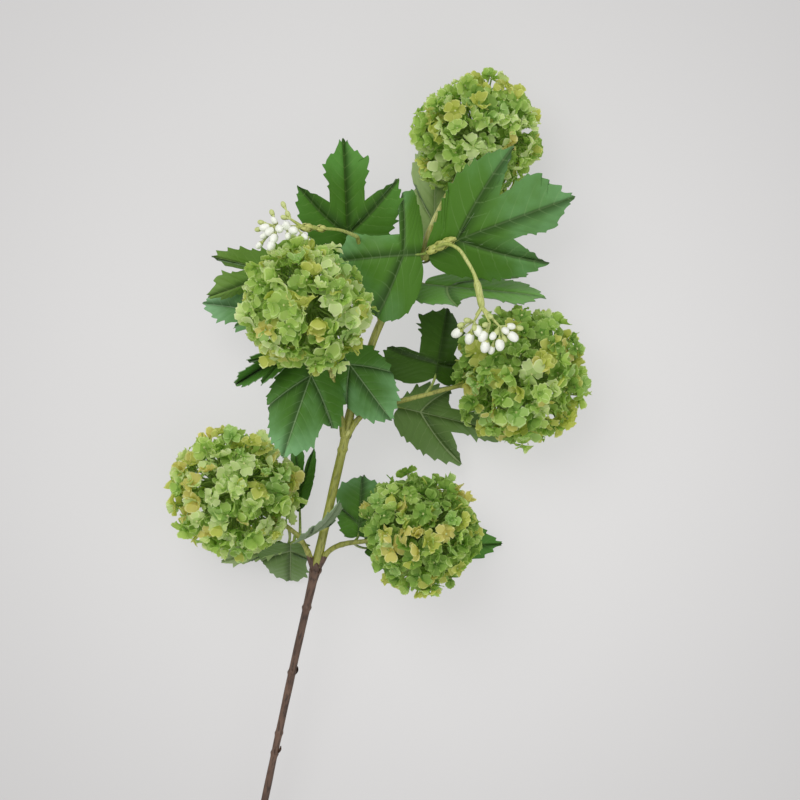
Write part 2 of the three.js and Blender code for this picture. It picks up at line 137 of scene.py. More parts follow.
class Build:
    """Vertices, faces, material numbers and plan coordinates of one piece while it is made."""

    def __init__(self):
        self.points, self.faces, self.slots, self.plan, self.count = [], [], [], [], 0

    def add(self, points, faces, slots=0, plan=None):
        """Adds points and the faces between them, whose numbers count from the first of these points."""
        points = np.asarray(points, float)
        faces = np.asarray(faces, int)
        self.points.append(points)
        self.faces.append(faces + self.count)
        self.slots.append(np.broadcast_to(np.asarray(slots, int), (len(faces),)))
        self.plan.append(np.zeros((len(points), 2)) if plan is None else np.asarray(plan, float))
        self.count += len(points)

    def finish(self, name, materials, nodes, slot, plan_name=None):
        """Makes the piece, which rides on the root body and stands in for the frame's nodes."""
        mesh = bpy.data.meshes.new(name)
        points = world(np.concatenate(self.points))
        points[:, 2] = np.maximum(points[:, 2], 0)  # nothing sinks into the surface the spray lies on
        faces = [face for block in self.faces for face in block.tolist()]
        mesh.from_pydata(points.tolist(), [], faces)
        mesh.polygons.foreach_set("material_index", np.concatenate(self.slots).astype(np.int32))
        mesh.polygons.foreach_set("use_smooth", np.full(len(faces), True))
        if plan_name:
            layer = mesh.uv_layers.new(name=plan_name)
            corner = np.empty(len(mesh.loops), np.int32)
            mesh.loops.foreach_get("vertex_index", corner)
            layer.data.foreach_set("uv", np.concatenate(self.plan)[corner].ravel().astype(np.float32))
        for material in materials:
            mesh.materials.append(material)
        mesh.update()
        piece = bpy.data.objects.new(name, mesh)
        bpy.context.scene.collection.objects.link(piece)
        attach(piece, "root")
        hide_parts(*nodes)


def smooth_route(places, step):
    """A centripetal Catmull-Rom curve through the places: evenly spaced points and their distances."""
    knots = [np.asarray(p, float) for p in places]
    knots = [2 * knots[0] - knots[1]] + knots + [2 * knots[-1] - knots[-2]]
    dense = []
    for a, b, c, d in zip(knots, knots[1:], knots[2:], knots[3:]):
        t1 = math.sqrt(np.linalg.norm(b - a))
        t2 = t1 + math.sqrt(np.linalg.norm(c - b))
        t3 = t2 + math.sqrt(np.linalg.norm(d - c))
        for t in np.linspace(t1, t2, CURVE_STEPS, endpoint=False):
            ab = a * (t1 - t) / t1 + b * t / t1
            bc = b * (t2 - t) / (t2 - t1) + c * (t - t1) / (t2 - t1)
            cd = c * (t3 - t) / (t3 - t2) + d * (t - t2) / (t3 - t2)
            abc = ab * (t2 - t) / t2 + bc * t / t2
            bcd = bc * (t3 - t) / (t3 - t1) + cd * (t - t1) / (t3 - t1)
            dense.append(abc * (t2 - t) / (t2 - t1) + bcd * (t - t1) / (t2 - t1))
    dense.append(knots[-2])
    dense = np.array(dense)
    length = np.concatenate([[0], np.cumsum(np.linalg.norm(np.diff(dense, axis=0), axis=1))])
    count = max(3, int(round(length[-1] / step)) + 1)
    even = np.linspace(0, length[-1], count)
    return np.stack([np.interp(even, length, dense[:, k]) for k in range(3)], axis=1), even


def route_frames(route):
    """Two side directions at each point of a route, turned as little as possible."""
    tangents = np.gradient(route, axis=0)
    tangents /= np.linalg.norm(tangents, axis=1)[:, None]
    normal = np.cross(tangents[0], (1.0, 0.0, 0.0) if abs(tangents[0][0]) < 0.8 else (0.0, 0.0, 1.0))
    normals = []
    for tangent in tangents:
        normal = unit(normal - tangent * np.dot(normal, tangent))
        normals.append(normal)
    normals = np.array(normals)
    return normals, np.cross(tangents, normals)


def sweep(build, places, radius, sides, step, relief=None, slot=0, end=True):
    """A round limb along a route. radius(share) and relief(distance, turn) are in millimetres."""
    route, distance = smooth_route(places, step)
    normals, sideways = route_frames(route)
    turns = np.linspace(0, 2 * math.pi, sides, endpoint=False)
    share = distance / distance[-1]
    radii = np.array([radius(s) for s in share])[:, None] + np.zeros(sides)
    if relief is not None:
        radii = radii + relief(distance[:, None], turns[None, :])
    ring = (normals[:, None, :] * np.cos(turns)[None, :, None]
            + sideways[:, None, :] * np.sin(turns)[None, :, None])
    points = (route[:, None, :] + ring * radii[:, :, None]).reshape(-1, 3)
    build.add(points, grid_quads(len(route), sides, closed=True), slot)
    if end:
        for centre, row, flip in ((route[0], 0, True), (route[-1], len(route) - 1, False)):
            rim = points[row * sides:(row + 1) * sides]
            cap = [(sides, (n + 1) % sides, n) if flip else (sides, n, (n + 1) % sides) for n in range(sides)]
            build.add(np.vstack([rim, centre]), cap, slot)
    return route


def profile(pairs):
    """A function of the share of a length, straight between its (share, value) pairs."""
    shares, values = zip(*pairs)

    def value(share):
        return float(np.interp(share, shares, values))
    return value


# ---------------------------------------------------------------- places on the spray

LOW_FORK = (0.0, 330.0, 36.0)
HIGH_FORK = (0.8, 404.0, 41.0)

# The places that each stem's middle passes through, from its foot to its tip.
ROUTES = {
    "lower_stem": [(0, 0, 1.75), (-0.8, 165, 17.5), (-0.8, 270, 29), LOW_FORK],
    "upper_stem": [(0, 330.4, 36), (0.4, 370, 39), HIGH_FORK, (0.7, 420, 43), (3, 442, 44.5),
                   (5.8, 463, 45.5), (13.2, 488.7, 47.5), (20.8, 507.5, 49.5), (22.6, 523.5, 49.5),
                   (26.4, 539, 46.5), (31.2, 554, 41)],
    "stalk_lower_left": [(-1.2, 329.5, 36.5), (-5.9, 337.2, 38), (-11.7, 343.6, 38.3), (-18.6, 347.6, 38),
                         (-29, 351.5, 37)],
    "stalk_lower_right": [(0.8, 329.5, 36.5), (3.9, 338.2, 38), (7.6, 342.8, 40), (13.2, 346.3, 42),
                          (21.4, 349.3, 44.5), (31, 352.8, 47)],
    "stalk_right": [(1.6, 402.5, 41.6), (5.3, 412.6, 44), (12, 420.8, 45.2), (23.1, 426.1, 45.2),
                    (37.9, 433.3, 43.2), (52.7, 440.9, 41), (61, 444.8, 40)],
    "stalk_front": [(-0.4, 402.5, 41.6), (-3.5, 411.7, 46), (-9.7, 425.7, 51), (-19, 443.5, 56.5),
                    (-26.5, 456, 62), (-30, 461.5, 71)],
    "side_branch_left": [(6.4, 466.5, 45.6), (-2.2, 484.5, 52), (-10.6, 499, 58.5), (-14.9, 507, 66)],
}

BLOOM_NODES = ("bloom_front", "bloom_lower_left", "bloom_lower_right", "bloom_right", "bloom_top")


def bloom_ball(node):
    """The centre and radius of a bloom's solid, in the working frame. Its top and sides are never cut."""
    low, high = (np.array(corner) * 1000 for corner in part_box(node))
    radius = (high[0] - low[0] + high[1] - low[1]) / 4
    x, y = (low[:2] + high[:2]) / 2 + OUTLINE_MIDDLE
    return np.array([x, y, high[2] - radius]), radius


# ---------------------------------------------------------------- settings


class StemSettings(bpy.types.PropertyGroup):
    brown_radius: bpy.props.FloatProperty(
        name="Brown stem radius", description="Radius of the lower stem near its cut end", default=0.00185,
        unit="LENGTH")
    green_radius: bpy.props.FloatProperty(
        name="Green stem radius", description="Radius of the upper stem below its fork", default=0.0024,
        unit="LENGTH")
    brown: bpy.props.FloatVectorProperty(
        name="Bark", description="Colour of the lower stem", subtype="COLOR", size=4,
        default=linear("#4f392d"))
    green: bpy.props.FloatVectorProperty(
        name="Green skin", description="Colour of the upper stem", subtype="COLOR", size=4,
        default=linear("#898d3a"))


class LeafSettings(bpy.types.PropertyGroup):
    thickness: bpy.props.FloatProperty(
        name="Cloth thickness", description="Thickness of a leaf's cloth", default=0.00045, unit="LENGTH")
    vein_spacing: bpy.props.FloatProperty(
        name="Vein spacing", description="Distance between fine veins, as a share of a leaf's length",
        default=0.1)
    tooth: bpy.props.FloatProperty(
        name="Tooth depth", description="Depth of the notches along a leaf's margin", default=0.0024,
        unit="LENGTH")


class BloomSettings(bpy.types.PropertyGroup):
    florets: bpy.props.IntProperty(
        name="Outer florets", description="Number of florets on the outside of each bloom", default=152)
    inner_florets: bpy.props.IntProperty(
        name="Inner florets", description="Number of florets inside each bloom", default=56)
    floret_width: bpy.props.FloatProperty(
        name="Floret width", description="Width of a floret across its petals", default=0.0134, unit="LENGTH")
    yellow_share: bpy.props.FloatProperty(
        name="Yellow florets", description="Share of the florets that are yellow", default=0.065,
        subtype="FACTOR", min=0, max=1)


class BudSettings(bpy.types.PropertyGroup):
    bud_length: bpy.props.FloatProperty(
        name="Bud length", description="Length of a full bud", default=0.0069, unit="LENGTH")
    bud_width: bpy.props.FloatProperty(
        name="Bud width", description="Width of a full bud", default=0.0049, unit="LENGTH")


class StageSettings(bpy.types.PropertyGroup):
    camera_height: bpy.props.FloatProperty(
        name="Camera height", description="Height of the camera above the spray", default=1.1, unit="LENGTH")
    backdrop: bpy.props.FloatVectorProperty(
        name="Table colour", description="Colour of the table's opal sheet, unlit", subtype="COLOR", size=4,
        default=linear("#8a8989"))
    glow: bpy.props.FloatProperty(
        name="Table light", description="Strength of the light that comes through the table", default=0.475)


# ---------------------------------------------------------------- materials

# Sizes of the patterns, in millimetres.
BLOTCH_MM = 1000 / 60  # patches of tint on a moulded stem, sixty to a metre
DYE_PATCH_MM = 1000 / 45  # patches of dye on a leaf, forty-five to a metre
SATIN_THREAD_MM = 0.6  # the satin's threads are 0.15 mm apart and are drawn coarser, the finest that shows
CRINKLE_MM = 1.6  # crinkles of a petal's weave
DYE_POOL_MM = 2.5  # places on a bud where its dye pooled

PAINTED_FURROW_SHADE = 0.8  # how much of the painted shade colour a stem shows in its grain's furrows
PAINTED_FOLD_SHADE = 0.85  # how much of the painted shade colour a leaf shows beside its folds
FINE_VEIN_PALENESS = 0.17  # how much of the veins' colour the fine ones show
LIGHT_THROUGH_PETAL = 0.4  # share of a petal's light that has passed through its cloth


def new_material(name):
    """A material with no nodes yet, and its node tree."""
    material = bpy.data.materials.new(name)
    material.use_nodes = True
    material.node_tree.nodes.clear()
    return material, material.node_tree


def moulded_stem(name, colour, tint, furrow_shade_colour, grain_mm, roughness):
    """Polyethylene skin moulded over steel wire: the mould's lengthwise grain is a soft bump, and painted
    shade darkens its furrows into streaks.
    """
    material, tree = new_material(name)
    place = add(tree, "ShaderNodeTexCoord")
    stretched = add(tree, "ShaderNodeMapping", {"Vector": place.outputs["Object"], "Scale": (1.0, 0.2, 1.0)})
    grain = add(tree, "ShaderNodeTexNoise", {"Vector": stretched, "Scale": 1000 / grain_mm, "Detail": 4.0})
    blotch = add(tree, "ShaderNodeTexNoise", {
        "Vector": place.outputs["Object"], "Scale": 1000 / BLOTCH_MM, "Detail": 3.0})
    patch = add(tree, "ShaderNodeMapRange", {"Value": blotch, "From Min": 0.4, "From Max": 0.6})
    tone = add(tree, "ShaderNodeMix", {"Factor": patch, "A": colour, "B": tint}, data_type="RGBA")
    # furrow is painted shade: the colour darkens where the grain's bump is low
    furrow = add(tree, "ShaderNodeMapRange", {
        "Value": grain, "From Min": 0.36, "From Max": 0.5, "To Min": PAINTED_FURROW_SHADE, "To Max": 0.0})
    mixed = add(tree, "ShaderNodeMix", {"Factor": furrow, "A": tone, "B": furrow_shade_colour}, data_type="RGBA")
    bump = add(tree, "ShaderNodeBump", {"Strength": 0.5, "Distance": 0.0003, "Height": grain})
    shader = add(tree, "ShaderNodeBsdfPrincipled", {
        "Base Color": mixed, "Roughness": roughness, "IOR": 1.5, "Normal": bump})
    add(tree, "ShaderNodeOutputMaterial", {"Surface": shader})
    return material


SIDE_RIB_START = 0.19  # where the ribs of the side lobes leave the midrib, as a share of its length
SIDE_RIB = (0.44, 0.49)  # from there to a side lobe's tip
SIDE_RIB_BOW = 0.22
COMMON_LEAF_MM = 64  # the length of leaf that the veins' widths are given for
RIB_HALF_WIDTH = 0.2 / COMMON_LEAF_MM
RIB_FADE = 2.8  # a rib has faded out at so many half widths
FINE_VEIN_HALF_WIDTH = 0.12 / COMMON_LEAF_MM
FINE_VEIN_FADE = 3.5
FOLD_SHADE_WIDTH = 6.5 / COMMON_LEAF_MM  # width of the painted shade on the dark side of a pressed fold
FOLD_SHADE_BACK = 1.2 / COMMON_LEAF_MM  # and on its light side
FISHBONE_REACH = 13.0 / COMMON_LEAF_MM  # how far the fine veins run from a rib
FISHBONE_SLOPE = 0.6
FISHBONE_BOW = 1.4
SIDE_TIPWARD = 0.55  # how far towards the tips a place at a leaf's side counts


def rib_direction():
    """The X and Y of a side rib's direction, and its length."""
    length = math.hypot(*SIDE_RIB)
    return SIDE_RIB[0] / length, SIDE_RIB[1] / length, length


def leaf_vein_group(spacing):
    """Midrib, two side ribs, a fishbone of fine veins and painted shade beside the folds, from a leaf's plan
    coordinates.
    """
    tree = bpy.data.node_groups.new("pressed_leaf_veins", "ShaderNodeTree")
    for name in ("Rib", "Fine", "FoldShade", "Tipward"):
        tree.interface.new_socket(name=name, in_out="OUTPUT", socket_type="NodeSocketFloat")
    ux, uy, length = rib_direction()
    plan = add(tree, "ShaderNodeUVMap", uv_map="leaf_plan")
    split = add(tree, "ShaderNodeSeparateXYZ", [plan])
    y = split.outputs[1]
    signed = add(tree, "ShaderNodeMath", [split.outputs[0], 0.5], operation="SUBTRACT")
    x = add(tree, "ShaderNodeMath", [signed], operation="ABSOLUTE")
    above = add(tree, "ShaderNodeMath", [y, SIDE_RIB_START], operation="SUBTRACT")

    # How far out along a side rib a point is, and how far off that bowed rib.
    x_along = add(tree, "ShaderNodeMath", [x, ux], operation="MULTIPLY")
    along_rib = add(tree, "ShaderNodeMath", [above, uy, x_along], operation="MULTIPLY_ADD")
    x_across = add(tree, "ShaderNodeMath", [x, uy], operation="MULTIPLY")
    straight = add(tree, "ShaderNodeMath", [above, -ux, x_across], operation="MULTIPLY_ADD")
    to_tip = add(tree, "ShaderNodeMath", [along_rib, SIDE_RIB_BOW, -SIDE_RIB_BOW * length],
                 operation="MULTIPLY_ADD")
    across = add(tree, "ShaderNodeMath", [along_rib, to_tip, straight], operation="MULTIPLY_ADD")
    from_rib = add(tree, "ShaderNodeMath", [across], operation="ABSOLUTE")
    backward = add(tree, "ShaderNodeMath", [along_rib, -1.0], operation="MULTIPLY")
    behind = add(tree, "ShaderNodeMath", [backward, 0.0], operation="MAXIMUM")
    side_distance = add(tree, "ShaderNodeMath", [from_rib, behind], operation="ADD")
    nearest = add(tree, "ShaderNodeMath", [x, side_distance], operation="MINIMUM")

    # Painted shade beside a fold reaches far out on one side of its rib and stays close in on the other.
    mid_front = add(tree, "ShaderNodeMath", [signed, FOLD_SHADE_WIDTH], operation="DIVIDE")
    mid_back = add(tree, "ShaderNodeMath", [signed, -FOLD_SHADE_BACK], operation="DIVIDE")
    mid_fold_shade = add(tree, "ShaderNodeMath", [mid_front, mid_back], operation="MAXIMUM")
    side_front = add(tree, "ShaderNodeMath", [across, -FOLD_SHADE_WIDTH], operation="DIVIDE")
    side_back = add(tree, "ShaderNodeMath", [across, FOLD_SHADE_BACK], operation="DIVIDE")
    side_fold_shade = add(tree, "ShaderNodeMath", [side_front, side_back], operation="MAXIMUM")
    side_fold_shade = add(tree, "ShaderNodeMath", [behind, 1 / FOLD_SHADE_BACK, side_fold_shade], operation="MULTIPLY_ADD")
    off_fold_shade = add(tree, "ShaderNodeMath", [mid_fold_shade, side_fold_shade], operation="MINIMUM")
    fold_shade = add(tree, "ShaderNodeMapRange", {
        "Value": off_fold_shade, "From Min": 0.0, "From Max": 1.0, "To Min": 1.0, "To Max": 0.0},
        interpolation_type="SMOOTHSTEP")

    # The fine veins leave the nearest rib at a slant and bow forward.
    mid_lean = add(tree, "ShaderNodeMath", [x, -FISHBONE_BOW, -FISHBONE_SLOPE], operation="MULTIPLY_ADD")
    mid_steps = add(tree, "ShaderNodeMath", [x, mid_lean, y], operation="MULTIPLY_ADD")
    side_lean = add(tree, "ShaderNodeMath", [from_rib, -FISHBONE_BOW, -FISHBONE_SLOPE],
                    operation="MULTIPLY_ADD")
    side_steps = add(tree, "ShaderNodeMath", [from_rib, side_lean, along_rib], operation="MULTIPLY_ADD")
    by_midrib = add(tree, "ShaderNodeMath", [x, side_distance], operation="LESS_THAN")
    steps = add(tree, "ShaderNodeMix", {"Factor": by_midrib, "A": side_steps, "B": mid_steps})
    counted = add(tree, "ShaderNodeMath", [steps, spacing], operation="DIVIDE")
    part = add(tree, "ShaderNodeMath", [counted], operation="FRACT")
    middle = add(tree, "ShaderNodeMath", [part, 0.5], operation="SUBTRACT")
    off_line = add(tree, "ShaderNodeMath", [middle], operation="ABSOLUTE")
    line = FINE_VEIN_HALF_WIDTH / spacing
    fine = add(tree, "ShaderNodeMapRange", {
        "Value": off_line, "From Min": line, "From Max": line * FINE_VEIN_FADE, "To Min": 1.0, "To Max": 0.0},
        interpolation_type="SMOOTHSTEP")
    fading = add(tree, "ShaderNodeMapRange", {
        "Value": nearest, "From Min": 0.0, "From Max": FISHBONE_REACH, "To Min": 1.0, "To Max": 0.0})
    faded = add(tree, "ShaderNodeMath", [fine, fading], operation="MULTIPLY")
    rib = add(tree, "ShaderNodeMapRange", {
        "Value": nearest, "From Min": RIB_HALF_WIDTH, "From Max": RIB_HALF_WIDTH * RIB_FADE, "To Min": 1.0,
        "To Max": 0.0}, interpolation_type="SMOOTHSTEP")
    tipward = add(tree, "ShaderNodeMath", [x, SIDE_TIPWARD, y], operation="MULTIPLY_ADD")
    add(tree, "NodeGroupOutput", {"Rib": rib, "Fine": faded, "FoldShade": fold_shade, "Tipward": tipward})
    return tree


def leaf_cloth(name, veins, colours, paleness, roughness=0.5):
    """Polyester satin, dyed in soft shades and heat pressed: smooth, a little shiny, with pressed veins.

    The colours are the painted shade beside the folds, the body, the tips, which are lighter partly by dye
    and partly as painted sheen, and the veins; paleness is of the ribs.
    """
    # deep is the painted fold shade; tip is lighter dye and painted satin sheen together.
    deep, body, tip, vein = (linear(colour) for colour in colours)
    material, tree = new_material(name)
    pressed = add(tree, "ShaderNodeGroup", node_tree=veins)
    place = add(tree, "ShaderNodeTexCoord")
    dye = add(tree, "ShaderNodeTexNoise", {
        "Vector": place.outputs["Object"], "Scale": 1000 / DYE_PATCH_MM, "Detail": 4.0})
    # Towards the tips the colour turns lighter, partly dye and partly painted satin sheen.
    wander = add(tree, "ShaderNodeMath", [dye, 1.1, pressed.outputs["Tipward"]], operation="MULTIPLY_ADD")
    tip_dye_and_sheen = add(tree, "ShaderNodeMapRange", {"Value": wander, "From Min": 0.95, "From Max": 1.75},
                  interpolation_type="SMOOTHSTEP")
    ground = add(tree, "ShaderNodeMix", {"Factor": tip_dye_and_sheen, "A": body, "B": tip}, data_type="RGBA")
    # Painted shade beside the folds.
    fold_shade_share = add(tree, "ShaderNodeMath", [pressed.outputs["FoldShade"], PAINTED_FOLD_SHADE], operation="MULTIPLY")
    fold_shaded = add(tree, "ShaderNodeMix", {"Factor": fold_shade_share, "A": ground, "B": deep}, data_type="RGBA")
    fine_share = add(tree, "ShaderNodeMath", [pressed.outputs["Fine"], FINE_VEIN_PALENESS],
                     operation="MULTIPLY")
    lined = add(tree, "ShaderNodeMix", {"Factor": fine_share, "A": fold_shaded, "B": vein}, data_type="RGBA")
    rib_share = add(tree, "ShaderNodeMath", [pressed.outputs["Rib"], paleness], operation="MULTIPLY")
    veined = add(tree, "ShaderNodeMix", {"Factor": rib_share, "A": lined, "B": vein}, data_type="RGBA")
    threads = add(tree, "ShaderNodeTexNoise", {
        "Vector": place.outputs["Object"], "Scale": 1000 / SATIN_THREAD_MM, "Detail": 2.0})
    relief = add(tree, "ShaderNodeMath", [pressed.outputs["Fine"], -1.0, threads], operation="MULTIPLY_ADD")
    bump = add(tree, "ShaderNodeBump", {"Strength": 0.35, "Distance": 0.0001, "Height": relief})
    shader = add(tree, "ShaderNodeBsdfPrincipled", {
        "Base Color": veined, "Roughness": roughness, "IOR": 1.46, "Specular IOR Level": 0.22,
        "Sheen Weight": 0.04, "Sheen Roughness": 0.5, "Normal": bump})
    add(tree, "ShaderNodeOutputMaterial", {"Surface": shader})
    return material


def petal_cloth(name, colour, passing):
    """Thin dyed polyester: one plain colour a zone, which at heart and rim is partly painted shade and
    highlight, a crinkled weave, and light that glows through.
    """
    material, tree = new_material(name)
    place = add(tree, "ShaderNodeTexCoord")
    crinkle = add(tree, "ShaderNodeTexNoise", {
        "Vector": place.outputs["Object"], "Scale": 1000 / CRINKLE_MM, "Detail": 3.0})
    bump = add(tree, "ShaderNodeBump", {"Strength": 0.35, "Distance": 0.0003, "Height": crinkle})
    cloth = add(tree, "ShaderNodeBsdfPrincipled", {
        "Base Color": colour, "Roughness": 0.65, "IOR": 1.45, "Specular IOR Level": 0.3, "Normal": bump})
    through = add(tree, "ShaderNodeBsdfTranslucent", {"Color": passing, "Normal": bump})
    mixed = add(tree, "ShaderNodeMixShader", [LIGHT_THROUGH_PETAL, cloth, through])
    add(tree, "ShaderNodeOutputMaterial", {"Surface": mixed})
    return material


def moulded_bud(name, colour, shade, roughness):
    """Soft polyethylene, moulded and dipped: even, waxy, with faint marks where the dye pooled."""
    material, tree = new_material(name)
    place = add(tree, "ShaderNodeTexCoord")
    pooled = add(tree, "ShaderNodeTexNoise", {
        "Vector": place.outputs["Object"], "Scale": 1000 / DYE_POOL_MM, "Detail": 2.0})
    share = add(tree, "ShaderNodeMapRange", {
        "Value": pooled, "From Min": 0.5, "From Max": 0.75, "To Max": 0.7})
    tone = add(tree, "ShaderNodeMix", {"Factor": share, "A": colour, "B": shade}, data_type="RGBA")
    shader = add(tree, "ShaderNodeBsdfPrincipled", {"Base Color": tone, "Roughness": roughness, "IOR": 1.5})
    add(tree, "ShaderNodeOutputMaterial", {"Surface": shader})
    return material


TABLE_LAMP = (0.01, 0.12, 0.0)  # the middle of the light below the table
TABLE_LAMP_REACH = 0.42  # where that light has fallen off
GLOW_OVER_LAMP, GLOW_BEYOND_LAMP = 1.14, 0.7  # compared with the setting


def opal_table(name, colour, glow):
    """Sand-blasted opal acrylic, lit from below: pale, matt, with faint shadows, dimmer far from its lamp."""
    material, tree = new_material(name)
    place = add(tree, "ShaderNodeTexCoord")
    away = add(tree, "ShaderNodeVectorMath", [place.outputs["Object"], TABLE_LAMP], operation="DISTANCE")
    strength = add(tree, "ShaderNodeMapRange", {
        "Value": away.outputs["Value"], "From Min": 0.0, "From Max": TABLE_LAMP_REACH,
        "To Min": glow * GLOW_OVER_LAMP, "To Max": glow * GLOW_BEYOND_LAMP}, interpolation_type="SMOOTHSTEP")
    shader = add(tree, "ShaderNodeBsdfPrincipled", {
        "Base Color": colour, "Roughness": 0.8, "IOR": 1.49, "Specular IOR Level": 0.1,
        "Emission Color": linear("#fcfbfb"), "Emission Strength": strength})
    add(tree, "ShaderNodeOutputMaterial", {"Surface": shader})
    return material


# ---------------------------------------------------------------- stems

LOWER_STEM_MM = 332.0  # along its bend
LOWER_STEM_DIRECTION = (0, 1, 0.1)
SCALE_LENGTH, SCALE_WIDTH = 4.4, 2.6
SCAR_HALF_WIDTH = 1.1
BRACT_THICKNESS = 0.28
# Where pairs of scales sit on the lower stem, as a share of its length, and how they are turned.
LOWER_STEM_SCALES = ((0.818, 0.4), (0.68, 3.4), (0.45, 1.2), (0.2, 4.1))
# Rings of scales: their middle, the stem's direction and radius there, and the scales' number, length,
# width and turn.
FORK_SCALES = ((0, 325.5, 35.6), LOWER_STEM_DIRECTION, 2.6, 5, 6.0, 4.2, 0.7)
UPPER_STEM_SCALES = (
    ((0.6, 400.5, 40.5), (0.05, 1, 0.1), 2.4, 4, 5.6, 3.8, 0.3),
    ((20.5, 502.5, 48.9), (0.5, 0.85, 0.1), 2.4, 4, 6.2, 3.6, 0.2),
    ((23.8, 507.5, 49.7), (0.55, 0.82, 0.15), 2.3, 5, 6.8, 3.4, 1.1))
# Leaf scars, as rings that stand out: their distance from a stem's foot, their height and how far
# they lean along the stem. The lower stem's distances are shares of its length.
LOWER_STEM_SCARS = (
    (0.2, 0.5, 0.3), (0.45, 0.5, -0.4), (0.68, 0.45, 0.4), (0.715, 0.4, -0.3), (0.82, 0.55, 0.5),
    (0.93, 0.6, 0.2))
UPPER_STEM_SCARS = ((65.0, 0.55, 0.5), (76.0, 0.3, 0.4), (24.0, 0.25, 0.4))
STALK_SCARS = ((9.0, 0.25, 0.3), (20.0, 0.22, 0.3))
# A stalk's radius at its foot and its tip.
STALK_RADII = {
    "stalk_lower_left": (1.5, 1.05), "stalk_lower_right": (1.5, 1.1), "stalk_right": (1.5, 1.1),
    "stalk_front": (1.6, 1.1), "side_branch_left": (1.3, 1.05)}
# The step along a stalk at which it has a ring of scales, and how large they are.
STALK_SCALES = {"stalk_right": (34, 1.0), "stalk_front": (46, 1.1), "side_branch_left": (50, 1.4)}


def bark_relief(seed, furrow, lump, scars=()):
    """Lengthwise furrows, slow lumps and raised rings at distances, as a relief for sweep()."""
    rng = np.random.default_rng(seed)
    phases = rng.uniform(0, 2 * math.pi, 7)

    def relief(distance, turn):
        # Five broad and nine narrow furrows wander round the stem; its lumps are 69 and 27 mm apart.
        twist = turn + 0.25 * np.sin(distance / 31 + phases[0])
        broad = np.sin(5 * twist + phases[1] + 0.6 * np.sin(distance / 9 + phases[2]))
        narrow = 0.6 * np.sin(9 * twist + phases[3] + 0.8 * np.sin(distance / 5 + phases[4]))
        far_apart = np.sin(distance / 11 + phases[5] + np.cos(turn))
        close = 0.7 * np.sin(distance / 4.3 + phases[6])
        value = furrow * (broad + narrow) + lump * (far_apart + close)
        for at, rise, lean in scars:
            beside = (distance - at - lean * np.cos(turn + at)) / SCAR_HALF_WIDTH
            value = value + rise * np.exp(-beside ** 2)
        return value
    return relief


def scale_bract(build, foot, along, outward, length, width, slot, lift=0.35):
    """A small pointed scale that hugs a stem: a spoon of two curved skins."""
    along, outward = unit(along), np.asarray(outward, float)
    outward = unit(outward - along * np.dot(outward, along))
    side = np.cross(along, outward)
    rows, columns = 9, 7
    v, u = np.meshgrid(np.linspace(0, 1, rows), np.linspace(-1, 1, columns), indexing="ij")
    half = width / 2 * np.sqrt(np.clip(1 - v ** 2.4, 0, 1)) * (0.8 + 0.5 * v * (1 - v))
    wrap = 1 - 0.5 * u ** 2
    bulge = (lift * v + 0.35 * np.sin(math.pi * v)) * length * 0.5 + wrap * width * 0.3
    quads = grid_quads(rows, columns)
    for skin, faces in ((0.0, quads), (BRACT_THICKNESS, quads[:, ::-1])):
        height = bulge - skin * (1 - v)
        points = (np.asarray(foot) + along * (length * v)[..., None] + side * (half * u)[..., None]
                  + outward * height[..., None])
        build.add(points.reshape(-1, 3), faces, slot)


def ring_of_bracts(build, centre, along, radius, count, length, width, turn, slot, lift=0.35):
    """Scales round a stem, every second one a little further on."""
    along = unit(along)
    first = unit(np.cross(along, (0.3, 0.2, 1.0)))
    second = np.cross(along, first)
    for index in range(count):
        angle = turn + 2 * math.pi * index / count
        outward = first * math.cos(angle) + second * math.sin(angle)
        foot = np.asarray(centre) + outward * radius * 0.35 + along * (index % 2) * length * 0.25
        scale_bract(build, foot, along, outward, length * (1 - 0.12 * (index % 3)), width, slot, lift)


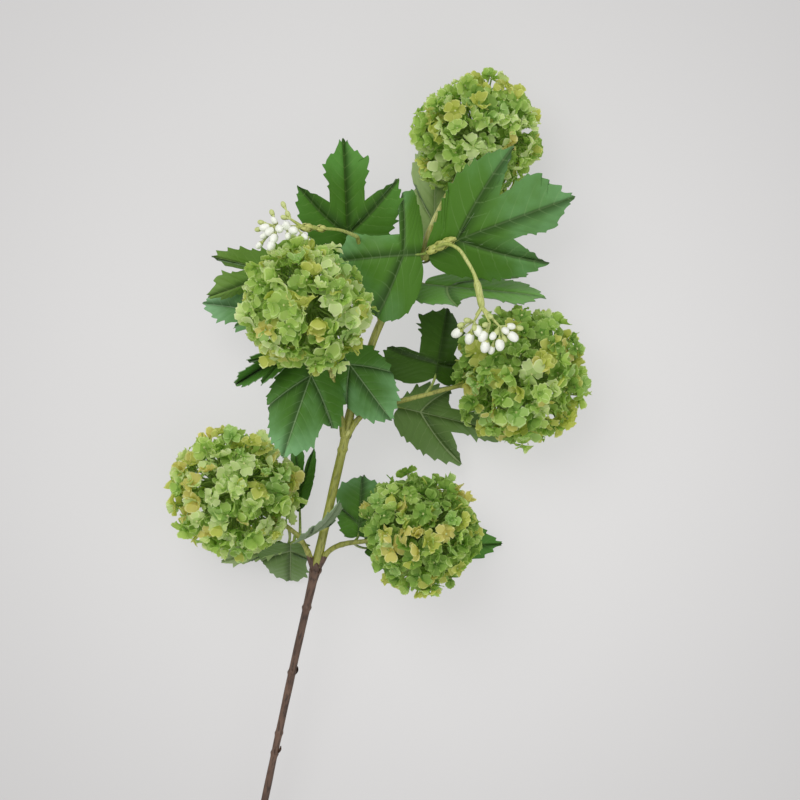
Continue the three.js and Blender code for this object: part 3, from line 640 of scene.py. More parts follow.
class VIBURNUM_OT_stems(bpy.types.Operator):
    """Brown lower stem, green upper stem and the stalks that fork from them"""

    bl_idname = "viburnum.stems"
    bl_label = "Stems"

    def execute(self, context):
        settings = context.scene.viburnum_stems
        # The third colour of each stem material is the painted shade in its grain's furrows.
        brown = moulded_stem("moulded_brown_bark", tuple(settings.brown), linear("#684f40"),
                             linear("#2f211a"), 1.3, 0.55)
        green = moulded_stem("moulded_green_skin", tuple(settings.green), linear("#a1a350"),
                             linear("#696d29"), 1.1, 0.45)
        pale = moulded_stem("moulded_yellow_green_scales", linear("#a9ae5c"), linear("#c3c479"),
                            linear("#7f8a3c"), 0.9, 0.45)
        thin = settings.brown_radius * 1000
        thick = settings.green_radius * 1000

        lower = Build()
        radius = profile([(0, thin), (0.8, thin + 0.15), (0.93, thin + 0.3), (0.975, thin + 0.5),
                          (0.99, 3.0), (1, 2.7)])
        scars = [(share * LOWER_STEM_MM, rise, lean) for share, rise, lean in LOWER_STEM_SCARS]
        sweep(lower, ROUTES["lower_stem"], radius, 20, 0.8, bark_relief(3, 0.07, 0.07, scars))
        for share, turn in LOWER_STEM_SCALES:
            centre = np.array(LOW_FORK) * share + np.array((0, 0, 1.2)) * (1 - share)
            ring_of_bracts(lower, centre, LOWER_STEM_DIRECTION, thin, 2, SCALE_LENGTH, SCALE_WIDTH, turn, 0)
        ring_of_bracts(lower, *FORK_SCALES, 0)
        lower.finish("brown_stem", [brown], ["lower_stem"], "brown_stem")

        upper = Build()
        radius = profile([(0, thick + 0.6), (0.03, thick + 0.25), (0.07, thick), (0.3, thick - 0.05),
                          (0.335, thick + 0.25), (0.35, thick + 0.3), (0.39, thick - 0.15),
                          (0.6, thick - 0.4), (0.76, thick - 0.55), (0.795, 2.75), (0.825, 2.4),
                          (0.86, 1.35), (1, 1.15)])
        sweep(upper, ROUTES["upper_stem"], radius, 20, 0.7, bark_relief(8, 0.08, 0.05, UPPER_STEM_SCARS))
        sweep(upper, ROUTES["upper_stem"][-4:], profile([(0, 1.5), (0.35, 1.55), (1, 1.3)]), 16, 0.7,
              bark_relief(12, 0.06, 0.04), slot=1)
        for ring in UPPER_STEM_SCALES:
            ring_of_bracts(upper, *ring, 1)
        upper.finish("green_stem", [green, pale], ["upper_stem"], "green_stem")

        for index, (name, (start, tip)) in enumerate(STALK_RADII.items()):
            stalk = Build()
            route = sweep(stalk, ROUTES[name], profile([(0, start + 0.3), (0.12, start), (1, tip)]), 14, 0.7,
                          bark_relief(20 + index, 0.05, 0.05, STALK_SCARS))
            if name in STALK_SCALES:
                at, size = STALK_SCALES[name]
                at = min(at, len(route) - 4)
                ring_of_bracts(stalk, route[at], route[at + 2] - route[at], 1.1 * size, 4,
                               SCALE_LENGTH * size, SCALE_WIDTH * size, index, 1)
            if name.startswith("stalk_lower"):
                sleeve = profile([(0, start + 0.5), (0.6, start + 0.3), (1, start - 0.1)])
                sweep(stalk, ROUTES[name][:2], sleeve, 14, 0.7, bark_relief(30, 0.07, 0.07), slot=2)
            stalk.finish("moulded_" + name, [green, pale, brown], [name], "green_stem")
        return {"FINISHED"}


# ---------------------------------------------------------------- leaves

# Half a leaf's outline: share of the leaf's length to the side, and share along its midrib. The
# first is the shape with three lobes, the second the same points on a plain oval.
LOBED_HALF = [
    (0, 0), (0.09, -0.02), (0.19, 0.02), (0.29, 0.12), (0.37, 0.25), (0.43, 0.38), (0.455, 0.52),
    (0.44, 0.68), (0.35, 0.62), (0.26, 0.56), (0.17, 0.48), (0.185, 0.59), (0.22, 0.7), (0.22, 0.81),
    (0.13, 0.88), (0.08, 0.94), (0, 1)]
OVAL_HALF = [
    (0, 0), (0.09, -0.02), (0.19, 0.02), (0.27, 0.1), (0.325, 0.2), (0.35, 0.3), (0.355, 0.38),
    (0.36, 0.46), (0.34, 0.52), (0.335, 0.58), (0.315, 0.64), (0.29, 0.7), (0.25, 0.77), (0.2, 0.84),
    (0.14, 0.9), (0.075, 0.95), (0, 1)]
# The share along the midrib from which the cloth runs out to each of those points.
MIDRIB_FEET = [
    0, 0.01, 0.03, 0.07, 0.11, 0.145, 0.165, 0.178, 0.19, 0.2, 0.27, 0.43, 0.57, 0.7, 0.82, 0.91, 1]
SIDE_TIP, CLEFT = 7, 10  # where the outline has its side lobe's tip and its cleft
WAIST_END = 4  # where a leaf with a narrow foot has its full width again
SINUS_PULL = {-1: 0.2, 0: 1.0, 1: 0.5}  # how a cleft that lies further back draws the points beside it

# How far teeth stand out at each point of an outline, from none to full.
TOOTH_REACH = (
    (0, 0), (2, 0), (3.2, 1), (6.6, 1), (7, 0.2), (8.3, 0.8), (9, 0), (10.6, 0), (11.4, 1), (15.4, 1),
    (16, 0))
TOOTH_WIDTHS = (4.2, 8.2)  # in millimetres
TOOTH_HEIGHTS = (0.45, 1.2)  # compared with the setting
TOOTH_PEAK, TOOTH_FALL = 0.82, 0.18  # how a tooth's width is shared by its rise and its fall
TOOTH_SINK = 0.35  # how far a notch cuts in, compared with the setting
TOOTH_LEAN = 0.45  # how far a tooth's peak leans forward
TIP_POINT, TIP_PINCH = 15.1, 0.35  # the outline's point at which the tip is drawn in, and how far
EDGE_DROOP = 9.0  # how far the cloth hangs at a whole leaf's length from its midrib
TIP_DROOP, TIP_START = 0.25, 0.72  # how sharply the tip bends down, and from which share of the midrib
WAVE_MM = 3.0  # height of the cloth's slow waves at a whole leaf's length from its midrib
LEAF_LIFT = 0.2  # a leaf that lies on the surface is so far above it

# Each leaf as it was bent by hand. start is the place on its stem, base and tip are the ends of its
# midrib, and size is the length it was cut to. Pairs are its left and right halves: lift turns a half
# up, in degrees, wide and mid are the widths of its side lobe and of its middle lobe, sweep leans the
# side lobe forward, cleft is how deep the cut between them is and sinus how far the cut moves along,
# waist makes the half's foot narrow, and late keeps that foot from leaning with the lobe. roll turns
# the whole leaf, in degrees, arch bows its midrib, in millimetres, and teeth is their depth compared
# with the setting.
LEAVES = {
    "leaf_upper_left": dict(
        start=(-12, 501.5, 59.5), base=(-17.8, 496.5, 47.5), tip=(-33.6, 557.3, 56), size=68, tone="mid",
        lift=(22, 18), wide=(0.9, 1), mid=(0.74, 0.88), sweep=(-0.12, -0.08)),
    "leaf_top_right": dict(
        start=(24.8, 509.8, 51.2), base=(23.6, 508.4, 56), tip=(93.3, 552.6, 60), size=80, tone="bright",
        lift=(24, -36), wide=(1.08, 0.98), mid=(1.12, 0.8), sweep=(0.12, 0.06), sinus=(0.05, 0.05), arch=5,
        waist=(1, 0)),
    "leaf_top_middle": dict(
        start=(24.6, 509.5, 51), base=(19.6, 505.4, 60), tip=(-23.9, 492.1, 57), size=62, tone="bright",
        lift=(-12, -8), wide=(1.56, 1.25), mid=(1.16, 1), cleft=(0, 1), sweep=(0.1, -1.2),
        sinus=(0, -0.17), arch=8, late=(0, 1), teeth=0.45),
    "leaf_top_behind": dict(
        start=(24.6, 509.5, 49), base=(24.8, 517, 35), tip=(13.1, 578.9, 3.4), size=62, tone="faded",
        wide=(0.5, 0.35), mid=(0.8, 0.6), cleft=(0.2, 0.1), arch=-8),
    "leaf_right_edgewise": dict(
        start=(16, 495, 47.5), base=(24.8, 492.6, 31), tip=(90.8, 500.4, 31), size=70, tone="light",
        roll=-60, wide=(1, 0.72), mid=(0.9, 0.85), cleft=(0.7, 1), sweep=(0.6, -0.9), sinus=(0.05, 0)),
    "leaf_right_upper": dict(
        start=(37.9, 433.3, 43.2), base=(41.1, 443.9, 39.5), tip=(40.2, 484, 14), size=62, tone="deep",
        lift=(0, -35), wide=(1.05, 0.75), sweep=(-0.85, -0.6), sinus=(-0.13, 0), late=(0, 1)),
    "leaf_right_lower": dict(
        start=(23.1, 426.1, 45), base=(25.8, 424, 39), tip=(94.6, 422.3, 7), size=72, tone="grey",
        wide=(0.5, 0.72), mid=(0.5, 0.45), sweep=(-0.65, -0.12), arch=-4, waist=(1, 0), late=(1, 0)),
    "leaf_left_upper": dict(
        start=(-26.5, 456, 62), base=(-45.9, 484.5, 51), tip=(-87, 459.4, 47), size=54, tone="warm",
        lift=(-55, 5), wide=(0.5, 0.85), mid=(0.5, 0.8), sweep=(0, 0.3)),
    "leaf_left_lower": dict(
        start=(-25, 453.5, 60.5), base=(-44.8, 459.9, 42), tip=(-90.9, 456.3, 33), size=50, tone="mint",
        wide=(0.56, 0.7), mid=(0.72, 1), cleft=(0.6, 0.6)),
    "leaf_left_folded": dict(
        start=(-21.5, 447.5, 57.5), base=(-33.2, 445.2, 49), tip=(-63.4, 416.9, 39), size=48, tone="mid",
        lift=(66, 69), cleft=(0.6, 0.6)),
    "leaf_front_large": dict(
        start=(-19, 443.5, 56.5), base=(-22.3, 441, 57), tip=(-28.4, 385, 68), size=66, tone="blue",
        lift=(-32, -40), cleft=(0.45, 0.15), arch=5),
    "leaf_front_small": dict(
        start=(-14, 433.5, 53.5), base=(-11.5, 446.5, 57), tip=(23.5, 416, 56), size=56, tone="blue",
        lift=(-30, -30), wide=(0.95, 0.9), cleft=(0.1, 0.1)),
    "leaf_low_left_upper": dict(
        start=(-11.7, 343.6, 38.3), base=(-15.5, 358, 28), tip=(-27.3, 393.8, 12), size=50, tone="mid",
        lift=(-50, -10), wide=(0.3, 0.5), mid=(0.35, 0.44), sweep=(0, 0.5), teeth=0.12),
    "leaf_low_left_lower": dict(
        start=(-9.5, 341.5, 38.2), base=(-16.1, 338.5, 30), tip=(-13, 315.4, 3.5), size=44, tone="grey",
        wide=(0.58, 1.08), mid=(0.9, 1.08), sweep=(-0.6, -0.1), cleft=(0.5, 0.2)),
    "leaf_low_left_narrow": dict(
        start=(-14.5, 345.5, 38.2), base=(-12.4, 342, 45), tip=(6.3, 368.7, 66), size=34, tone="dusty",
        roll=75, wide=(0.8, 0.8), cleft=(0.3, 0.3), arch=3),
    "leaf_low_right_upper": dict(
        start=(13.2, 346.3, 42), base=(18.6, 351.5, 36), tip=(13.4, 383.2, 6), size=50, tone="bright",
        wide=(0.64, 0.9), sweep=(-0.3, -0.1), cleft=(0.1, 0.1)),
    "leaf_low_right_under": dict(
        start=(17, 347.8, 43.2), base=(25, 344.1, 13.5), tip=(98.6, 361.9, 5), size=74, tone="mid",
        wide=(0.8, 0.35), mid=(0.7, 0.5), cleft=(1, 0.3)),
    "leaf_low_left_under": dict(
        start=(-18.6, 347.6, 38), base=(-19.5, 335.5, 25), tip=(-53.4, 318.7, 4), size=38, tone="faded",
        lift=(0, -10), wide=(0.25, 0.5), mid=(0.4, 0.7), cleft=(0.3, 0.3)),
}
LEAF_TONES = {  # painted shade beside the folds, body, tips (lighter dye and painted sheen), veins, and how much of the veins' colour the ribs show
    "mid": ("#1d3808", "#3d6a14", "#558b38", "#86a65a", 0.1),
    "bright": ("#22400b", "#497521", "#6b9c62", "#94b176", 0.14),
    "deep": ("#1f350a", "#375813", "#4a7226", "#688646", 0.12),
    "blue": ("#244312", "#44711f", "#7bac76", "#9cbb86", 0.36),
    "warm": ("#2c4713", "#557a22", "#6f9044", "#98ad64", 0.3),
    "mint": ("#2f5224", "#578646", "#84b182", "#a6c398", 0.4),
    "grey": ("#3a5020", "#5b793b", "#799560", "#a2b482", 0.44),
    "light": ("#33591a", "#5c9036", "#75a559", "#a3bf7a", 0.36),
    "faded": ("#627a42", "#90a968", "#a5b985", "#b9c898", 0.44),
    "dusty": ("#5a6d49", "#788c68", "#8fa083", "#a3b096", 0.4),
}
# The back's colours come in the same order.
LEAF_BACK = ("#5d7350", "#748c66", "#7f9a78", "#93a57f", 0.44)
PLAN_STEPS = 12  # samples between two outline points
ACROSS_STEPS = 11  # samples from the midrib to the margin
VALLEY_DEPTH, VALLEY_HALF_WIDTH = 0.8, 1.3  # of a pressed rib
# The quilting between fine veins: its height, how far from a rib it is full, and where it ends,
# compared with the fine veins' reach.
QUILT_HEIGHT, QUILT_START, QUILT_END = 0.2, 3.0, 1.6
PETIOLE_CLEARANCE = 0.7  # a stalk's middle is at least this high above the surface
PETIOLE_RADII = ((0, 0.95), (0.15, 0.75), (0.4, 0.6), (1, 0.25))  # by the share of its length
UNDER_BLADE = (0.06, 0.2, 0.38, 0.55, 0.7)  # shares of the midrib that it runs under


def half_outline(leaf, side):
    """Half of a leaf's outline, on the plan of its veins and as it was cut, with their midrib feet."""
    index = 0 if side < 0 else 1
    cleft, wide, mid = (leaf.get(key, (1, 1))[index] for key in ("cleft", "wide", "mid"))
    sweep_by, sinus, waist, late = (
        leaf.get(key, (0, 0))[index] for key in ("sweep", "sinus", "waist", "late"))
    plan, cut = [], []
    for n, (lobed, oval) in enumerate(zip(LOBED_HALF, OVAL_HALF)):
        aside = lobed[0] * cleft + oval[0] * (1 - cleft)
        along = lobed[1] * cleft + oval[1] * (1 - cleft)
        share = min(max((n - SIDE_TIP - 1) / 3, 0), 1)
        lean = sweep_by if n < CLEFT else sweep_by / 2 if n == CLEFT else 0
        lean *= 1 - late * max(1 - n / SIDE_TIP, 0)
        plan.append((aside, along))
        drawn_back = sinus * SINUS_PULL.get(n - CLEFT, 0)
        narrow = 1 - waist * max(1 - n / WAIST_END, 0)
        cut.append((aside * narrow * (wide + (mid - wide) * share), along + lean * aside + drawn_back))
    corners = [0, SIDE_TIP, CLEFT, len(plan) - 1]
    smooth_plan, smooth_cut, feet = [], [], []
    for first, last in zip(corners, corners[1:]):
        shares = np.arange(first, last + 1)
        even = np.linspace(first, last, (last - first) * PLAN_STEPS, endpoint=last == corners[-1])
        for points, target in ((plan, smooth_plan), (cut, smooth_cut)):
            target.append(soft_line(shares, np.array(points[first:last + 1]), even))
        feet.append(np.interp(even, range(len(MIDRIB_FEET)), MIDRIB_FEET))
    return np.concatenate(smooth_plan), np.concatenate(smooth_cut), np.concatenate(feet)


def soft_line(knots, points, even):
    """Points along a line through the knots, rounded by Catmull-Rom within the stretch."""
    padded = np.vstack([2 * points[0] - points[1], points, 2 * points[-1] - points[-2]])
    at = np.clip(even - knots[0], 0, len(points) - 1.000001)
    cell = at.astype(int)
    t = (at - cell)[:, None]
    a, b, c, d = (padded[cell + k] for k in range(4))
    return 0.5 * (2 * b + (c - a) * t + (2 * a - 5 * b + 4 * c - d) * t ** 2
                  + (3 * b - a - 3 * c + d) * t ** 3)


def toothed(cut, size, depth, seed):
    """Moves an outline out and in to make forward-leaning teeth, fewer near the base and in the cleft."""
    rng = random.Random(seed)
    step = np.linalg.norm(np.diff(cut, axis=0), axis=1) * size
    distance = np.concatenate([[0], np.cumsum(step)])
    edges = [0.0]
    while edges[-1] < distance[-1] + 9:
        edges.append(edges[-1] + rng.uniform(*TOOTH_WIDTHS))
    edges = np.array(edges)
    heights = np.array([rng.uniform(*TOOTH_HEIGHTS) for _ in edges])
    cell = np.clip(np.searchsorted(edges, distance, side="right") - 1, 0, len(edges) - 2)
    share = (distance - edges[cell]) / (edges[cell + 1] - edges[cell])
    saw = np.where(share < TOOTH_PEAK, (share / TOOTH_PEAK) ** 1.7, (1 - share) / TOOTH_FALL) * heights[cell]
    forward = np.gradient(cut, axis=0)
    forward /= np.maximum(np.linalg.norm(forward, axis=1), 1e-9)[:, None]
    outward = np.stack([forward[:, 1], -forward[:, 0]], axis=1)
    order = np.arange(len(cut)) / PLAN_STEPS
    weight = np.interp(order, *zip(*TOOTH_REACH))
    teeth = outward * (saw - TOOTH_SINK)[:, None] + forward * (TOOTH_LEAN * saw)[:, None]
    moved = cut + teeth * (weight * depth / size)[:, None]
    pinched = 1 - TIP_PINCH * np.exp(-((order - TIP_POINT) / 0.6) ** 2)
    moved[:, 0] = np.maximum(moved[:, 0], 0) * pinched
    return moved


class LeafBend:
    """Puts points of a flat leaf where the bent leaf has them."""

    def __init__(self, leaf, seed):
        self.leaf = leaf
        self.base = np.array(leaf["base"], float)
        self.chord = np.array(leaf["tip"], float) - self.base
        self.forward = unit(self.chord)
        up = unit(np.array((0, 0, 1.0)) - self.forward * self.forward[2])
        turn = Quaternion(Vector(self.forward), math.radians(leaf.get("roll", 0)))
        self.up = np.array(turn @ Vector(up))
        self.right = np.cross(self.forward, self.up)
        self.seed = seed

    def place(self, aside, along, side):
        """aside and along are arrays on the cut outline; a little droop and waviness is added."""
        leaf, size = self.leaf, self.leaf["size"]
        lift = math.radians(leaf.get("lift", (0, 0))[0 if side < 0 else 1])
        droop = -EDGE_DROOP * aside ** 2 - TIP_DROOP * size * np.clip(along - TIP_START, 0, 1) ** 2
        ripple = np.sin(along * 9 + side * 1.3 + self.seed) + 0.6 * np.sin(along * 17 + self.seed * 2.1)
        wave = ripple * aside ** 1.5 * WAVE_MM
        rise = leaf.get("arch", 0) * 4 * along * (1 - along) + size * aside * math.sin(lift) + droop + wave
        flat = size * aside * side * math.cos(lift)
        return (self.base + self.chord * along[..., None] + self.up * rise[..., None]
                + self.right * flat[..., None])


def pressed_relief(plan, size, spacing):
    """Height of the pressed veins: sharp valleys along the ribs and soft quilting between fine veins."""
    ux, uy, length = rib_direction()
    x, above = plan[..., 0], plan[..., 1] - SIDE_RIB_START
    along_rib = x * ux + above * uy
    across = np.abs(x * uy - above * ux + SIDE_RIB_BOW * along_rib * (along_rib - length))
    side_distance = across + np.maximum(-along_rib, 0)
    nearest = np.minimum(x, side_distance)
    mid_steps = plan[..., 1] - x * (FISHBONE_SLOPE + FISHBONE_BOW * x)
    side_steps = along_rib - across * (FISHBONE_SLOPE + FISHBONE_BOW * across)
    steps = np.where(x < side_distance, mid_steps, side_steps)
    quilt = 0.5 - 0.5 * np.cos(2 * math.pi * (steps / spacing - 0.5))
    fading = (np.clip(nearest * size / QUILT_START, 0, 1)
              * np.clip(QUILT_END - nearest / FISHBONE_REACH, 0, 1))
    valley = np.exp(-(nearest * size / VALLEY_HALF_WIDTH) ** 2)
    return -VALLEY_DEPTH * valley + QUILT_HEIGHT * quilt * fading


def across_leaf(outline, feet, shares):
    """A grid from the midrib out to an outline: a row for each of its points, a column for each share."""
    foot = feet[:, None]
    return np.stack([outline[:, None, 0] * shares, foot + (outline[:, None, 1] - foot) * shares], -1)


def leaf_half(leaf, bend, side, seed, settings):
    """The middle surface of one half, its normals and its places on the plan of the veins."""
    plan, cut, feet = half_outline(leaf, side)
    cut = toothed(cut, leaf["size"], settings.tooth * 1000 * leaf.get("teeth", 1.0), seed * 2 + side)
    shares = np.linspace(0, 1, ACROSS_STEPS + 1) ** 0.85
    cut, plan = across_leaf(cut, feet, shares), across_leaf(plan, feet, shares)
    surface = bend.place(cut[..., 0], cut[..., 1], side)
    normal = np.cross(np.gradient(surface, axis=0), np.gradient(surface, axis=1)) * side
    normal /= np.maximum(np.linalg.norm(normal, axis=2), 1e-9)[..., None]
    if np.dot(normal[len(feet) // 4, ACROSS_STEPS // 2], bend.up) < 0:
        normal = -normal
    normal[:, 0] = bend.up
    normal[0] = normal[-1] = bend.up
    surface = surface + normal * pressed_relief(plan, leaf["size"], settings.vein_spacing)[..., None]
    surface[..., 2] = np.maximum(surface[..., 2], settings.thickness * 500 + LEAF_LIFT)
    return surface, normal, plan


def leaf_piece(name, leaf, seed, settings, materials):
    """One leaf: the printed top and plain back of both halves, their margin and the wired stalk."""
    build = Build()
    bend = LeafBend(leaf, seed)
    half_thickness = settings.thickness * 500
    samples = []
    for side in (-1, 1):
        surface, normal, plan = leaf_half(leaf, bend, side, seed, settings)
        count, across = surface.shape[:2]
        quads = grid_quads(count, across)
        if side < 0:
            quads = quads[:, ::-1]
        uv = np.stack([0.5 + side * plan[..., 0], plan[..., 1]], -1).reshape(-1, 2)
        top = (surface + normal * half_thickness).reshape(-1, 3)
        below = (surface - normal * half_thickness).reshape(-1, 3)
        build.add(top, quads, 0, uv)
        build.add(below, quads[:, ::-1], 1, uv)
        edge = np.arange(count) * across + across - 1
        n = np.arange(count - 1)
        wall = np.stack([n, n + count, n + count + 1, n + 1], -1)
        build.add(np.vstack([top[edge], below[edge]]), wall if side > 0 else wall[:, ::-1], 1,
                  np.vstack([uv[edge], uv[edge]]))
        samples.append(surface.reshape(-1, 3))
    add_petiole(build, leaf, bend, half_thickness)
    build.finish(name.replace("leaf", "cloth_leaf"), materials, [name], "leaves", plan_name="leaf_plan")
    return np.concatenate(samples)


def add_petiole(build, leaf, bend, half_thickness):
    """The wired stalk, which runs on under the blade as a rib that thins out."""
    base, forward = bend.base, bend.forward
    start = np.array(leaf["start"], float)
    middle = start + (base - start) * 0.6 - forward * 2.4
    under = []
    for along in UNDER_BLADE:
        point = bend.place(np.array([0.0]), np.array([along]), 1)[0]
        under.append(point - bend.up * (half_thickness + 1.0))
    route = [start, middle, base - forward * 0.6 - bend.up * 0.5, *under]
    route = [np.maximum(point, (-np.inf, -np.inf, PETIOLE_CLEARANCE)) for point in route]
    sweep(build, route, profile(PETIOLE_RADII), 8, 1.0, slot=2)


class VIBURNUM_OT_leaves(bpy.types.Operator):
    """Eighteen printed cloth leaves with wired stalks"""

    bl_idname = "viburnum.leaves"
    bl_label = "Leaves"

    def execute(self, context):
        settings = context.scene.viburnum_leaves
        veins = leaf_vein_group(settings.vein_spacing)
        tops = {}
        for tone, (*colours, rib_share) in LEAF_TONES.items():
            tops[tone] = leaf_cloth(f"printed_satin_leaf_{tone}", veins, colours, rib_share)
        *colours, rib_share = LEAF_BACK
        under = leaf_cloth("unprinted_satin_leaf_back", veins, colours, rib_share, roughness=0.6)
        # Its third colour is the painted shade in the grain's furrows.
        stalk = moulded_stem("moulded_leaf_stalk", linear("#7e9440"), linear("#95a555"), linear("#5e7430"),
                             1.0, 0.5)
        samples = []
        for index, (name, leaf) in enumerate(LEAVES.items()):
            samples.append(leaf_piece(name, leaf, index + 1, settings, [tops[leaf["tone"]], under, stalk]))
        LEAF_SAMPLES.append(np.concatenate(samples))
        return {"FINISHED"}


LEAF_SAMPLES = []  # points all over the leaves, of which the florets keep clear

# ---------------------------------------------------------------- blooms

# Colours of a floret: towards its middle, greener dye darkened as painted shade; its body's dye; and its rim,
# paler dye lightened as painted highlight.
PETAL_TONES = {
    "fresh": ("#95b855", "#b7d172", "#cfe198"),
    "mid": ("#86ac4a", "#a6c564", "#bed684"),
    "deep": ("#6f973e", "#8daf52", "#a5c269"),
    "pale": ("#b9d082", "#d3e3a0", "#e3edba"),
    "cool": ("#8cb458", "#aaca75", "#c4db97"),
    "lime": ("#adb94e", "#c6cc69", "#d9dd8a"),
    "yellow": ("#c7bc60", "#dcd37d", "#eae4a2"),
}
PASSING_LIGHT = (1.15, 1.25, 0.75)  # red, green and blue of light through a petal, beside its dye
# What differs from bloom to bloom: its shares of pale and deep florets, and how its share of
# yellow ones and the size of all of them compare with the settings.
BLOOM_LOOKS = {
    "bloom_front": dict(pale=0.37, deep=0.04, yellow=1.1, size=1.04),
    "bloom_lower_left": dict(pale=0.42, deep=0.02, yellow=1.3, size=0.98),
    "bloom_lower_right": dict(pale=0.02, deep=0.46, yellow=1.2, size=0.96),
    "bloom_right": dict(pale=0.05, deep=0.32, yellow=1.1, size=0.99),
    "bloom_top": dict(pale=0.36, deep=0.04, yellow=0.6, size=0.96),
}
# Flat places pressed into a bloom: their direction from its middle and their depth in millimetres,
# which is negative where the bloom swells out.
PRESSED_PLACES = {
    "bloom_top": [((-0.62, 0.78, 0.0), 4.4), ((0.99, -0.1, 0.0), -1.5)],
    "bloom_lower_right": [((0.87, -0.48, 0.0), 2.6), ((-0.76, -0.65, 0.1), 8.0)],
    "bloom_right": [((0.3, -0.95, 0.0), -1.2)],
    "bloom_lower_left": [((0.5, -0.86, 0.0), 2.0)],
    "bloom_front": [((0.74, 0.62, 0.1), 15.0), ((0.98, 0.1, -0.1), -4.0), ((0.85, -0.5, 0.2), 4.6),
                    ((-0.5, -0.85, 0.0), 1.6)],
}
PETALS = 5
OVERLAP = (0.0, 0.3, 0.05, 0.35, 0.15)  # how far each of them stands over the first, in millimetres
NEAR_MM = 6  # leaves within this of a bloom's ball may meet its florets
LEAF_GAP_MM = 0.9
# Moves up and inwards that are tried in turn to get a floret clear of a leaf.
SIDESTEPS = ((4.0, 0.0), (0.0, 5.0), (4.0, 5.0), (7.0, 3.0))
TRIED_POINTS = 7  # one point of a floret in so many is held against the leaves
GOLDEN_ANGLE = math.pi * (3 - math.sqrt(5))
FRESH_SHARE, COOL_SHARE, LIME_SHARE = 0.22, 0.1, 0.16  # of every bloom's florets
MID_SHARE = 0.52  # less what a bloom has of pale and deep ones
YELLOW_PETALS = 0.75  # share of a yellow floret's petals that are yellow
STRAY_LIME = 0.04  # share of the other petals that are lime by themselves
STRAY_FLORETS = 0.15  # share of the florets that stand out of the flat places
FLORET_SIZES = (0.78, 1.16)  # compared with the setting
CUP, CUP_SPREAD = 0.32, 0.32  # how far a floret's petals lean out of its plane, in radians
PRESSED_WIDTH = 0.12  # of a flat place, as one less the cosine of its angle
ROUGHNESS = (-4.4, 2.6)  # how far a floret's reach falls short of the ball, or goes past it
LUMP_MM, LUMP_HEIGHT, DEEPEST_LUMP = 22, 1.4, 4
DIRECTION_JITTER = 0.07
PETAL_CLEARANCE = 0.25  # no petal is nearer to the surface than this
# Two layers of florets: how deep they sit, at least and at most, and how far they lean at random.
OUTER_LAYER, INNER_LAYER = (0.0, 7.0, 0.68), (8.5, 14.0, 0.5)
BOSS_SIDES, BOSS_TOP = 6, 0.75
BOSS_RINGS = ((0.5, 0.6), (0.75, 0.1))  # radius and height
FIRST_BLOOM_SEED = 40
HUB_SHARE = 0.2  # a bloom's knob, as a share of its radius
STALK_START, STALK_BEND = 0.16, 0.55  # where a floret's stalk starts and where it bends, likewise
FLORET_STALK_RADII = ((0, 0.6), (0.5, 0.42), (1, 0.5))  # by the share of its length


def tone_shares(node):
    """The share of a bloom's florets in each of its tones."""
    pale, deep = BLOOM_LOOKS[node]["pale"], BLOOM_LOOKS[node]["deep"]
    return {"fresh": FRESH_SHARE, "cool": COOL_SHARE, "lime": LIME_SHARE, "pale": pale, "deep": deep,
            "mid": MID_SHARE - pale - deep}


def even_directions(count, rng, jitter):
    """Directions spread evenly over a ball, and then moved a little at random."""
    index = np.arange(count)
    height = 1 - (2 * index + 1) / count
    ring = np.sqrt(1 - height ** 2)
    turn = index * GOLDEN_ANGLE
    spread = np.stack([ring * np.cos(turn), ring * np.sin(turn), height], 1)
    spread = spread + rng.normal(size=(count, 3)) * jitter
    return spread / np.linalg.norm(spread, axis=1)[:, None]


def petal_template():
    """A round petal's grid, from -1 to 1 each way, its quads and the colour zone of each."""
    marks = np.array([-1, -0.8, -0.42, 0, 0.42, 0.8, 1])
    v, u = np.meshgrid(marks, marks, indexing="ij")
    x, y = u * np.sqrt(1 - v ** 2 / 2), v * np.sqrt(1 - u ** 2 / 2)
    quads = grid_quads(len(marks), len(marks))
    last = len(marks) - 2
    i, j = np.divmod(np.arange(len(quads)), last + 1)
    zones = np.ones(len(quads), int)
    zones[((i == last) | (j == 0) | (j == last)) & (i > 1)] = 2
    zones[i < 2] = 0
    return x.ravel(), y.ravel(), quads, zones


def side_directions(normals, spin):
    """Two directions at right angles to each normal and to each other, turned by the spin."""
    helper = np.where(np.abs(normals[:, 2:3]) < 0.9, [[0.0, 0.0, 1.0]], [[1.0, 0.0, 0.0]])
    first = np.cross(helper, normals)
    first /= np.linalg.norm(first, axis=1)[:, None]
    second = np.cross(normals, first)
    return (first * np.cos(spin)[:, None] + second * np.sin(spin)[:, None],
            second * np.cos(spin)[:, None] - first * np.sin(spin)[:, None])


# How petals differ: the limits and spreads of what is drawn at random for each.
PETAL_LENGTHS = (0.85, 1.12)  # compared with half the floret's width
PETAL_BREADTHS = (0.92, 1.18)  # compared with the petal's length
TURN_SPREAD, TILT_SPREAD = 0.14, 0.26  # in radians
NOTCH_DEPTH, NOTCH_HALF_WIDTH = 0.2, 0.28  # of the rim, compared with the petal
FRAY = (-0.09, 0.06)  # how far the rim strays in and out, compared with the petal
BOW, BOW_SPREAD = 0.12, 0.16  # across a petal
FLORET_CURL_SPREAD, PETAL_CURL_SPREAD = 0.3, 0.22  # along a petal
RIPPLES = (0.3, 0.95)  # their height, in millimetres
RIPPLE_COUNTS = (2, 6)  # round a petal; the second is not reached
# What all petals share.
FOOT_WIDTH, FOOT_END = 0.34, 0.62  # how narrow the foot is, and the share of the length where it ends
FOOT_DISTANCE = 0.4  # from the floret's middle


